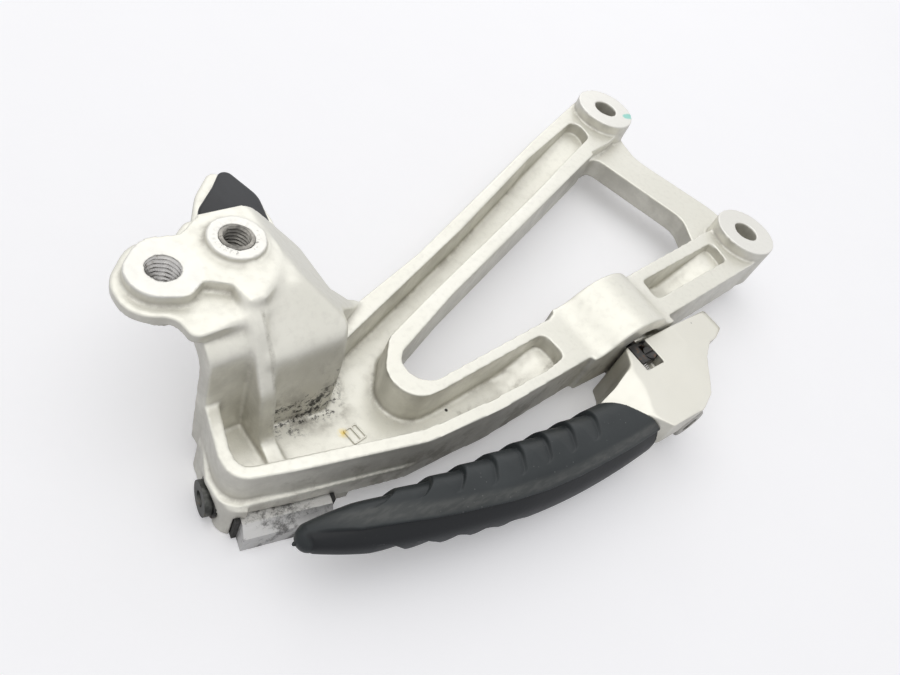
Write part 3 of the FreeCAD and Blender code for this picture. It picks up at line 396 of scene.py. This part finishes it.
def moulded_rubber():
    """Grip rubber: dark grey, satin, with dirt and a painted sheen above the lip, and painted shade below the
    lip and in the finger hollows.
    """
    n = Nodes("grip_rubber")
    under = n.attribute("under")
    broad = n.noise(26.0, 5.0, 0.6)
    fine = n.noise(900.0, 4.0, 0.6)
    colour = n.mix(n.span(broad, 0.35, 0.7), (0.024, 0.029, 0.031), (0.037, 0.043, 0.045))
    # dirt and a painted sheen along the shoulder above the lip
    streaks = n.span(n.stretched(900.0, (0.3, 1.0, 1.0), 6.0), 0.30, 0.75)
    dust_and_painted_light = n.times(n.attribute("crest"), n.span(streaks, 0.0, 1.0, 0.5, 1.0))
    colour = n.mix(n.times(dust_and_painted_light, 0.45), colour, (0.150, 0.152, 0.142))
    specks = n.times(n.span(n.cells(520.0), 0.05, 0.14, 1.0, 0.0), n.span(n.noise(60.0), 0.5, 0.6))
    colour = n.mix(n.times(specks, 0.35), colour, (0.26, 0.26, 0.25))
    # painted shade in the finger hollows
    colour = n.mix(n.times(n.attribute("hollow"), 0.45), colour, (0.014, 0.017, 0.019))
    # painted shade under the lip
    colour = n.mix(n.times(under, 0.85), colour, (0.005, 0.006, 0.008))
    rough = n.math("ADD", n.span(broad, 0.3, 0.7, 0.34, 0.46), n.times(under, 0.08))
    return n.finish(colour, rough, n.bump(fine, 0.00005, 0.5), Specular_IOR_Level=0.30)


def pad_rubber():
    """Glossier black rubber of the rear pad."""
    n = Nodes("pad_rubber")
    smear = n.stretched(60.0, (1.0, 0.4, 1.0), 4.0)
    colour = n.mix(n.span(smear, 0.4, 0.7), (0.010, 0.011, 0.013), (0.034, 0.036, 0.040))
    return n.finish(colour, n.span(smear, 0.3, 0.7, 0.26, 0.42), n.bump(n.noise(300.0), 0.00005, 0.4),
                    Specular_IOR_Level=0.35)


def isolator_rubber():
    n = Nodes("isolator_rubber")
    fine = n.noise(800.0, 4.0)
    colour = n.mix(fine, (0.012, 0.012, 0.012), (0.045, 0.043, 0.040))
    return n.finish(colour, n.span(fine, 0.3, 0.7, 0.55, 0.80), n.bump(fine, 0.0001, 0.6))


def plated_steel(name, pale, dark, low, high, stain):
    """Steel with a dull plating: cloudy tone, fine scratches and stains."""
    n = Nodes(name)
    cloud = n.noise(210.0, 5.0, 0.65)
    scratch = n.stretched(1500.0, (1.0, 0.15, 0.3))
    colour = n.mix(n.span(cloud, 0.35, 0.65), dark, pale)
    spots = n.span(n.noise(420.0, 6.0, 0.75), 0.56, 0.66)
    colour = n.mix(n.times(spots, 0.7), colour, stain)
    rough = n.math("ADD", n.span(cloud, 0.3, 0.7, low, high), n.times(spots, 0.15))
    return n.finish(colour, rough, n.bump(scratch, 0.00003, 0.5), metallic=0.85)


def bush_polymer():
    n = Nodes("bush_polymer")
    fine = n.noise(900.0, 3.0)
    colour = n.mix(fine, (0.085, 0.080, 0.070), (0.135, 0.125, 0.110))
    return n.finish(colour, n.span(fine, 0.3, 0.7, 0.42, 0.58), n.bump(fine, 0.00005, 0.5))


# ---------------------------------------------------------------- mesh helpers

def linked(name, data):
    obj = bpy.data.objects.new(name, data)
    bpy.context.scene.collection.objects.link(obj)
    return obj


def set_material(obj, material):
    obj.data.materials.clear()
    obj.data.materials.append(material)


def shown_copy(node, name, body):
    """A welded copy of a CAD node's mesh that stands for the node."""
    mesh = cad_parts[node].data.copy()
    obj = linked(name, mesh)
    work = bmesh.new()
    work.from_mesh(mesh)
    bmesh.ops.remove_doubles(work, verts=work.verts, dist=WELD_DISTANCE * MM)
    work.to_mesh(mesh)
    work.free()
    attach(obj, body)
    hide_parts(node)
    return obj


def remeshed(obj, voxel, rounds):
    """Even skin over the piece, softened like a casting's edges, with the modifiers baked in."""
    change = obj.modifiers.new("skin", "REMESH")
    change.mode = "VOXEL"
    change.voxel_size = voxel * MM
    change.use_smooth_shade = True
    soften = obj.modifiers.new("soften", "SMOOTH")
    soften.factor = 0.5
    soften.iterations = rounds
    graph = bpy.context.evaluated_depsgraph_get()
    mesh = bpy.data.meshes.new_from_object(obj.evaluated_get(graph))
    obj.modifiers.clear()
    obj.data = mesh


def points_of(obj):
    """The vertices' places, in millimetres."""
    points = np.zeros(len(obj.data.vertices) * 3, np.float32)
    obj.data.vertices.foreach_get("co", points)
    return points.reshape(-1, 3).astype(np.float64) / MM


def set_points(obj, points):
    obj.data.vertices.foreach_set("co", (points * MM).astype(np.float32).ravel())
    obj.data.update()


def edges_of(obj):
    edges = np.zeros(len(obj.data.edges) * 2, np.int32)
    obj.data.edges.foreach_get("vertices", edges)
    return edges.reshape(-1, 2)


def normals_of(obj):
    normals = np.zeros(len(obj.data.vertices) * 3, np.float32)
    obj.data.vertex_normals.foreach_get("vector", normals)
    return normals.reshape(-1, 3).astype(np.float64)


def spread(values, edges, rounds):
    """Averages a value over neighbouring vertices."""
    count = np.zeros(len(values))
    np.add.at(count, edges.ravel(), 1.0)
    count = np.maximum(count, 1.0)
    for _ in range(rounds):
        total = np.zeros_like(values)
        np.add.at(total, edges[:, 0], values[edges[:, 1]])
        np.add.at(total, edges[:, 1], values[edges[:, 0]])
        values = 0.5 * values + 0.5 * total / (count if values.ndim == 1 else count[:, None])
    return values


def ease(points, edges, weight, rounds, reach=4):
    """Moves points towards the average of their surroundings, each by its weight."""
    for _ in range(rounds):
        points = points + weight[:, None] * (spread(points, edges, reach) - points)
    return points


def store(obj, name, values):
    layer = obj.data.attributes.new(name, "FLOAT", "POINT")
    layer.data.foreach_set("value", np.clip(values, 0.0, 1.0).astype(np.float32))


def store_none(obj, names):
    """Zeros, for a small piece that shares a marked material."""
    for name in names:
        store(obj, name, np.zeros(len(obj.data.vertices)))


def hollowness(obj, rounds):
    """1 in inner corners and 0 on open faces, from how far the skin sinks below its surroundings."""
    gain = 4.2
    points = points_of(obj)
    edges = edges_of(obj)
    lifted = spread(points, edges, rounds) - points
    sunk = np.einsum("ij,ij->i", lifted, normals_of(obj))
    return spread(np.clip(sunk * gain, 0.0, 1.0), edges, 3)


def step(values, outside, inside):
    """Smooth step from 0 at one value to 1 at the other, which may be the lower one."""
    share = np.clip((values - outside) / (inside - outside), 0.0, 1.0)
    return share * share * (3.0 - 2.0 * share)


def region(points, limits):
    """Each point's share in a region: the product of one step for every limit."""
    share = np.ones(len(points))
    for axis, outside, inside in limits:
        share *= step(points[:, axis], outside, inside)
    return share


def distance_to(points, centre):
    """Distance in the XY plane to a point."""
    return np.hypot(points[:, X] - centre[X], points[:, Y] - centre[Y])


def distance_to_line(points, start, end):
    """Distance in the XY plane to a line."""
    start = np.array(start)
    along = np.array(end) - start
    share = np.clip(((points[:, :2] - start) @ along) / (along @ along), 0.0, 1.0)
    return np.linalg.norm(points[:, :2] - (start + share[:, None] * along), axis=1)


# ---------------------------------------------------------------- hanger

def raise_channel_ends(points, shaped):
    """Lifts the channel floors towards their ends, and returns each point's share in a channel."""
    z = points[:, Z]
    channel = np.zeros(len(points))
    for start, end, half_width, share in RAMPS:
        outside, inside = (half_width + side for side in RAMP_SIDE)
        near = step(distance_to_line(points, start, end), outside, inside)
        along = np.array(end) - np.array(start)
        travel = ((points[:, :2] - np.array(start)) @ along) / (along @ along)
        near *= step(z, *RAMP_FLOOR_Z) * step(travel, -0.02, 0.0)
        rise = share * step(travel, 0.0, 1.0) * near
        shaped[:, Z] += rise * np.maximum(RAMP_TOP_Z - z, 0.0)
        channel = np.maximum(channel, near * (z < RAMP_TOP_Z + 0.2))
    return channel


def widen_bore(points, shaped):
    """Pushes the wall of the tapped hole out, to leave room for the thread sleeve."""
    z = points[:, Z]
    reach = distance_to(shaped, TAPPED_BOSS)
    bore = (reach < BORE_WALL_R) & (z > BORE_LOW_Z) & (z < BORE_HIGH_Z)
    for axis, centre in enumerate(TAPPED_BOSS):
        offset = shaped[bore, axis] - centre
        shaped[bore, axis] = centre + offset * (BORE_R / np.maximum(reach[bore], 0.001))


def mark_hanger(obj, points, shaped):
    """Stores where the casting is darkened by dirt and painted shade, where it shows specks, and its machined
    seats.
    """
    x, _, z = points.T
    # hollows, darkened in the colour by dirt and painted shade
    store(obj, "hollow", hollowness(obj, 14))

    # dirt and painted shade along the foot of the raised wall, at its bend, on a low band of the outer side
    # and in the crease by the rib
    foot = distance_to_line(shaped, WALL_FOOT[0], WALL_FOOT[1])
    foot = np.minimum(foot, distance_to_line(shaped, WALL_FOOT[1], WALL_FOOT[2]))
    grime_and_shade = step(foot, 9.0, 1.0) * step(z, 4.0, -14.0) * (x < -185.0)
    bend = step(distance_to(points, WALL_BEND), 12.0, 4.0) * step(z, 12.0, -6.0) * (z > -18.5)
    for share, strength in ((bend, 0.8), (region(points, DARKER_LOW_SIDE), 0.85), (region(points, CREASE), 0.9)):
        grime_and_shade = np.maximum(grime_and_shade, strength * share)
    store(obj, "grime_and_shade", grime_and_shade)

    speckle = step(foot, 5.5, 1.0) * (z < -8.0)
    speckle = np.maximum(speckle, step(distance_to(points, TRAY_PATCH), 9.0, 3.0) * (z < -16.0))
    speckle = np.maximum(speckle, step(distance_to_line(shaped, *WALL_RIGHT), 4.0, 1.0) * (z < -2.0))
    store(obj, "speckle", speckle)

    seat = np.zeros(len(x))
    for centre, _, radius, face in SEATS:
        seat[(distance_to(points, centre) < radius) & (np.abs(z - face) < SEAT_TOLERANCE)] = 1.0
    store(obj, "seat", seat)


def make_hanger(material):
    obj = shown_copy("hanger_casting", "hanger_skin", "hanger")
    remeshed(obj, HANGER_VOXEL, 3)
    points = points_of(obj)
    edges = edges_of(obj)

    # the raised wall, the hump and the tray's corners flow more than the machined seats
    weight = np.maximum(0.8 * region(points, WALL), region(points, HUMP))
    weight = np.maximum(weight, 0.3 * region(points, TRAY))
    joint = step(np.linalg.norm(points - np.array(RIB_JOINT), axis=1), *RIB_JOINT_REACH)
    flow = np.maximum(region(points, WALL_CREST), joint)
    shaped = points.copy()
    channel = raise_channel_ends(points, shaped)
    shaped = ease(shaped, edges, weight, 2)
    shaped = ease(shaped, edges, np.maximum(flow, 0.5 * channel), 10)
    for centre, radius, _, _ in SEATS:
        near = distance_to(points, centre) < radius
        shaped[near] = points[near]
    widen_bore(points, shaped)
    set_points(obj, shaped)
    mark_hanger(obj, points, shaped)
    set_material(obj, material)


def thread_sleeve(name, centre, sizes, body, material):
    """Tube whose inside is a screw thread, with plain outside and flat ends."""
    outer, minor, major, pitch, low_z, high_z = sizes
    around = THREAD_SIDES
    rows = int(round((high_z - low_z) / pitch * THREAD_ROWS_PER_TURN))
    vertices = []
    faces = []

    def add_vertex(radius, turn, z):
        angle = 2 * math.pi * turn
        vertices.append(((centre[X] + radius * math.cos(angle)) * MM,
                         (centre[Y] + radius * math.sin(angle)) * MM, z * MM))

    for row in range(rows + 1):
        z = low_z + (high_z - low_z) * row / rows
        for i in range(around):
            turn = i / around
            phase = ((z - low_z) / pitch - turn) % 1.0
            groove = 1.0 - abs(2.0 * phase - 1.0)
            add_vertex(minor + (major - minor) * min(1.0, max(0.0, 1.3 * groove - 0.15)), turn, z)
    for z in (low_z, high_z):
        for i in range(around):
            add_vertex(outer, i / around, z)
    last = rows * around
    low = last + around
    high = low + around
    for i in range(around):
        j = (i + 1) % around
        for a in range(0, last, around):
            faces.append((a + i, a + around + i, a + around + j, a + j))
        faces.append((low + i, i, j, low + j))
        faces.append((last + i, high + i, high + j, last + j))
        faces.append((low + i, low + j, high + j, high + i))
    mesh = bpy.data.meshes.new(name)
    mesh.from_pydata(vertices, [], faces)
    mesh.validate()
    obj = linked(name, mesh)
    set_material(obj, material)
    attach(obj, body)


def cast_mark(material):
    """Small blank rectangle cast proud of the tray's floor, with a bar across it."""
    work = bmesh.new()
    bars = [(0.0, side * MARK_HALF_Y, 2 * MARK_HALF_X, MARK_LINE) for side in (1, -1)]
    bars += [(x, 0.0, MARK_LINE, 2 * MARK_HALF_Y) for x in (-MARK_HALF_X, MARK_HALF_X, MARK_BAR_X)]
    for x, y, length, width in bars:
        made = bmesh.ops.create_cube(work, size=1.0)
        bmesh.ops.scale(work, vec=(length * MM, width * MM, MARK_HEIGHT * MM), verts=made["verts"])
        bmesh.ops.translate(work, vec=(x * MM, y * MM, 0.0), verts=made["verts"])
    mesh = bpy.data.meshes.new("cast_mark")
    work.to_mesh(mesh)
    work.free()
    turn = Matrix.Rotation(math.radians(MARK_TURN), 4, "Z")
    mesh.transform(Matrix.Translation(Vector(MARK_PLACE) * MM) @ turn)
    obj = linked("cast_mark", mesh)
    remeshed(obj, MARK_VOXEL, 3)
    set_material(obj, material)
    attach(obj, "hanger")
    store_none(obj, ("hollow", "grime_and_shade", "speckle", "seat"))


# ---------------------------------------------------------------- peg

def square_slot(points):
    """Squares the inner corners of the stop bar's slot, so that the bar still slides in the softened skin."""
    low = SLOT_LOW
    high = SLOT_HIGH
    x, y, z = points.T
    gaps = np.stack([x - low[X], high[X] - x, y - low[Y], z - low[Z]], 1)
    inside = (gaps > 0.0).all(axis=1) & (y < high[Y]) & (z < high[Z])
    nearest = gaps.argmin(axis=1)
    for face, (axis, way) in enumerate(((X, -1), (X, 1), (Y, -1), (Z, -1))):
        chosen = inside & (nearest == face)
        points[chosen, axis] += way * gaps[chosen, face]


def slope_neck(shaped, edges):
    """Lets the neck slope away beside the stop bar's slot."""
    line_x, line_y = np.array(NECK_LINE).T
    past = np.maximum(np.interp(shaped[:, Y], line_y, line_x) - shaped[:, X], 0.0)
    ceiling = np.maximum(PEG_TOP_Z - NECK_FALL * past * past / (past + NECK_ROUND), NECK_LOWEST)
    beside = (past > 0.0) & (shaped[:, X] > NECK_END_X)
    sloped = beside & (shaped[:, Z] > ceiling - 0.3)
    shaped[:, Z] = np.where(beside, np.minimum(shaped[:, Z], ceiling), shaped[:, Z])
    return ease(shaped, edges, spread(sloped.astype(float), edges, 3), 3, 3)


def make_peg(material):
    obj = shown_copy("peg_body", "peg_skin", "peg")
    remeshed(obj, PEG_VOXEL, 3)
    points = points_of(obj)
    edges = edges_of(obj)
    x, _, z = points.T
    # the neck between the knuckle's flat top and the rubber is blended
    shaped = ease(points, edges, region(points, NECK), 6)
    shaped = slope_neck(shaped, edges)
    fall = np.clip(x - TAIL_CREASE_X, 0.0, TAIL_LENGTH) * step(z, -5.6, -5.2)
    shaped[:, Z] -= TAIL_FALL * fall
    square_slot(shaped)
    set_points(obj, shaped)
    # hollows, darkened in the colour by dirt and painted shade
    store(obj, "hollow", hollowness(obj, 12))
    set_material(obj, material)


def grip_section(x):
    """Centre and half sizes of the grip's section at each x."""
    stations = np.array(GRIP_STATIONS[::-1])
    return [np.interp(x, stations[:, 0], stations[:, i]) for i in range(1, 5)]


def hollow_depth(x, over, ends, reaches, deepest):
    """Depth of a row of scalloped hollows, each deepening towards its curved end wall."""
    depth = np.zeros_like(x)
    for start, end, reach in zip(ends, ends[1:], reaches):
        t = np.clip(np.abs(over) / np.where(over < 0.0, NEAR_REACH, reach), 0.0, 1.0)
        bend = np.sqrt(1.0 - t * t)
        wall = start + WALL_CURVE + (end - start - WALL_CURVE) * bend
        begin = start + 0.8 + 1.4 * t
        length = np.maximum(wall - begin, 0.3)
        slope = np.clip((x - begin) / length, 0.0, 1.0) ** 1.2
        back = 1.0 - step(x, wall, wall + WALL_WIDTH)
        depth = np.maximum(depth, deepest * bend ** 0.7 * slope * back * (t < 1.0))
    return depth


def make_grip(material):
    obj = shown_copy("grip_rubber", "grip_skin", "peg")
    remeshed(obj, GRIP_VOXEL, 4)
    points = points_of(obj)
    x = points[:, X]
    y, z, half_width, half_height = grip_section(x)
    across = (points[:, Y] - y) / half_width
    up = (points[:, Z] - z) / half_height
    power = 2.0 / GRIP_SQUARENESS
    wide = np.abs(across) ** power
    high = np.abs(up) ** power
    outside = step(wide + high, 0.55, 0.80)
    angle = np.arctan2(np.sign(up) * np.sqrt(high), np.sign(across) * np.sqrt(wide))
    size = (half_width + half_height) / 2

    def over(edge):
        """Distance round the section from an edge at the given angle."""
        turn = (angle - edge + math.pi) % (2 * math.pi) - math.pi
        return turn * size

    depth = hollow_depth(x, over(math.radians(HOLLOW_EDGE)), HOLLOW_X, HOLLOW_REACH, HOLLOW_DEPTH)
    depth += hollow_depth(x, over(math.radians(LOWER_EDGE)), LOWER_X, LOWER_REACH, LOWER_DEPTH)
    lip_x, lip_turn = np.array(LIP).T
    past = over(np.radians(np.interp(x, lip_x, lip_turn)))
    fade = step(x, -236.0, -229.0)
    under = step(past, -0.05, 0.45) * (1.0 - step(past, 2.0, 9.0)) * fade
    bead = LIP_BEAD * step(np.abs(past + 0.35), 0.7, 0.2) * fade
    inward = -np.stack([np.zeros_like(x), across, up], 1)
    inward /= np.maximum(np.linalg.norm(inward, axis=1), 1e-6)[:, None]
    shift = (depth + LIP_DEPTH * under - bead) * outside
    set_points(obj, points + inward * shift[:, None])

    # finger hollows, darkened in the colour as painted shade
    hollow = np.clip(depth * outside / HOLLOW_DEPTH, 0.0, 1.0)
    store(obj, "hollow", spread(hollow ** 1.5, edges_of(obj), 1))
    # band above the lip that takes dirt and a painted sheen
    store(obj, "crest", step(np.abs(past + 2.6), 2.8, 0.6) * outside * step(x, -238.0, -220.0))
    # band under the lip, painted dark as shade
    store(obj, "under", step(past, -0.1, 0.6) * (1.0 - step(past, 5.0, 11.0)) * outside)
    set_material(obj, material)


def tip_nub(material):
    """Moulding nub left on the very tip of the rubber."""
    work = bmesh.new()
    bmesh.ops.create_uvsphere(work, u_segments=20, v_segments=12, radius=1.0)
    length, width, height = NUB_SIZE
    for vertex in work.verts:
        swell = 1.0 + 0.12 * math.sin(5.0 * vertex.co.y) * vertex.co.z
        vertex.co = Vector((vertex.co.x * length * swell, vertex.co.y * width, vertex.co.z * height)) * MM
    mesh = bpy.data.meshes.new("tip_nub")
    work.to_mesh(mesh)
    work.free()
    mesh.transform(Matrix.Translation(Vector(NUB_PLACE) * MM))
    obj = linked("tip_nub", mesh)
    for polygon in mesh.polygons:
        polygon.use_smooth = True
    set_material(obj, material)
    store_none(obj, ("hollow", "crest", "under"))
    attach(obj, "peg")


# ---------------------------------------------------------------- small pieces

def dress(node, material, bevel=None):
    """Material, and a slight rounding of the edges, for a CAD node that is shown as it is."""
    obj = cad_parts[node]
    set_material(obj, material)
    if bevel:
        weld = obj.modifiers.new("weld", "WELD")
        weld.merge_threshold = WELD_DISTANCE * MM
        edge = obj.modifiers.new("edge", "BEVEL")
        edge.width = bevel * MM
        edge.segments = 2
        edge.limit_method = "ANGLE"
        edge.angle_limit = math.radians(35.0)
        edge.harden_normals = True


# ---------------------------------------------------------------- stage

def make_camera():
    data = bpy.data.cameras.new("camera")
    data.lens = LENS
    data.sensor_width = 36.0
    data.clip_start = 0.01
    camera = linked("camera", data)
    right = Vector(CAMERA_RIGHT).normalized()
    back = right.cross(Vector(CAMERA_UP)).normalized()
    turn = Matrix((right, back.cross(right), back)).transposed().to_4x4()
    camera.matrix_world = Matrix.Translation(CAMERA_PLACE) @ turn
    bpy.context.scene.camera = camera


def area_light(name, place, size, power, colour):
    data = bpy.data.lights.new(name, "AREA")
    data.shape = "RECTANGLE"
    data.size, data.size_y = size
    data.energy = power
    data.color = colour
    light = linked(name, data)
    light.location = place
    light.rotation_euler = (Vector(AIM) - Vector(place)).to_track_quat("-Z", "Y").to_euler()


def make_floor():
    """White paper that glows to the camera, and runs out to white away from the part."""
    mesh = bpy.data.meshes.new("floor")
    corners = [(x * FLOOR_REACH, y * FLOOR_REACH, FLOOR_Z) for x, y in ((-1, -1), (1, -1), (1, 1), (-1, 1))]
    mesh.from_pydata(corners, [], [(0, 1, 2, 3)])
    floor = linked("floor", mesh)
    n = Nodes("floor")
    colour = n.mix(n.noise(40.0, 4.0), (0.86, 0.855, 0.87), (0.88, 0.875, 0.89))
    n.finish(colour, 0.9, Specular_IOR_Level=0.1)
    glow = n.add("ShaderNodeEmission", {"Color": (1.0, 0.995, 1.0, 1.0)})
    path = n.add("ShaderNodeLightPath")
    away = n.span(n.vector("LENGTH", n.place), *GLOW_RANGE, FLOOR_GLOW, FAR_GLOW)
    n.join(n.times(path.outputs["Is Camera Ray"], away), glow.inputs["Strength"])
    both = n.add("ShaderNodeAddShader", {0: n.shader.outputs[0], 1: glow.outputs[0]})
    n.join(both.outputs[0], n.tree.nodes["Material Output"].inputs["Surface"])
    mesh.materials.append(n.material)


def make_world():
    """Soft fill on the part; white to the camera and in reflections."""
    world = bpy.data.worlds.new("world")
    bpy.context.scene.world = world
    world.use_nodes = True
    tree = world.node_tree
    fill = tree.nodes["Background"]
    fill.inputs["Color"].default_value = (0.96, 0.97, 1.0, 1.0)
    fill.inputs["Strength"].default_value = WORLD_FILL
    white = tree.nodes.new("ShaderNodeBackground")
    white.inputs["Color"].default_value = (1.0, 0.995, 1.0, 1.0)
    white.inputs["Strength"].default_value = 1.0

    def larger(a, b):
        node = tree.nodes.new("ShaderNodeMath")
        node.operation = "MAXIMUM"
        tree.links.new(a, node.inputs[0])
        tree.links.new(b, node.inputs[1])
        return node.outputs[0]

    rays = tree.nodes.new("ShaderNodeLightPath").outputs
    glossy = larger(rays["Is Glossy Ray"], rays["Is Transmission Ray"])
    choose = tree.nodes.new("ShaderNodeMixShader")
    tree.links.new(larger(rays["Is Camera Ray"], glossy), choose.inputs[0])
    tree.links.new(fill.outputs[0], choose.inputs[1])
    tree.links.new(white.outputs[0], choose.inputs[2])
    tree.links.new(choose.outputs[0], tree.nodes["World Output"].inputs["Surface"])


# ---------------------------------------------------------------- scene

make_camera()
casting = cast_alloy()
rubber = moulded_rubber()
steel = {name: plated_steel(name, *values) for name, values in STEELS.items()}
polymer = bush_polymer()

make_hanger(casting)
thread_sleeve("tapped_thread", TAPPED_BOSS, TAPPED_THREAD, "hanger", steel["bright_steel"])
thread_sleeve("insert_thread", INSERT_BOSS, INSERT_THREAD, "hanger", steel["insert_steel"])
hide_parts("thread_insert")
cast_mark(casting)
make_peg(peg_alloy())
make_grip(rubber)
tip_nub(rubber)

dress("lug_pad", pad_rubber())
dress("clamp_block", machined_alloy(), 0.25)
dress("block_isolators", isolator_rubber())
dress("stop_bar", steel["dark_steel"], 0.35)
for node in ("pivot_bolt", "pivot_head_washer", "pivot_nut_washer", "pivot_nut"):
    dress(node, steel["zinc_steel"], 0.15)
for node in ("grip_cup_washers", "grip_screws"):
    dress(node, steel["zinc_steel"], 0.08)
dress("block_bolt", steel["dull_steel"], 0.15)
dress("block_washer", steel["dark_steel"], 0.1)
dress("bar_keeper_screw", steel["dark_steel"], 0.08)
for node in ("pivot_sleeve", "wave_washer", "bar_spring"):
    dress(node, steel["bright_steel"])
for node in ("pivot_bush_inner", "pivot_bush_outer"):
    dress(node, polymer)

make_world()
make_floor()
for lamp in LAMPS:
    area_light(*lamp)

bpy.context.scene.view_settings.view_transform = "Standard"
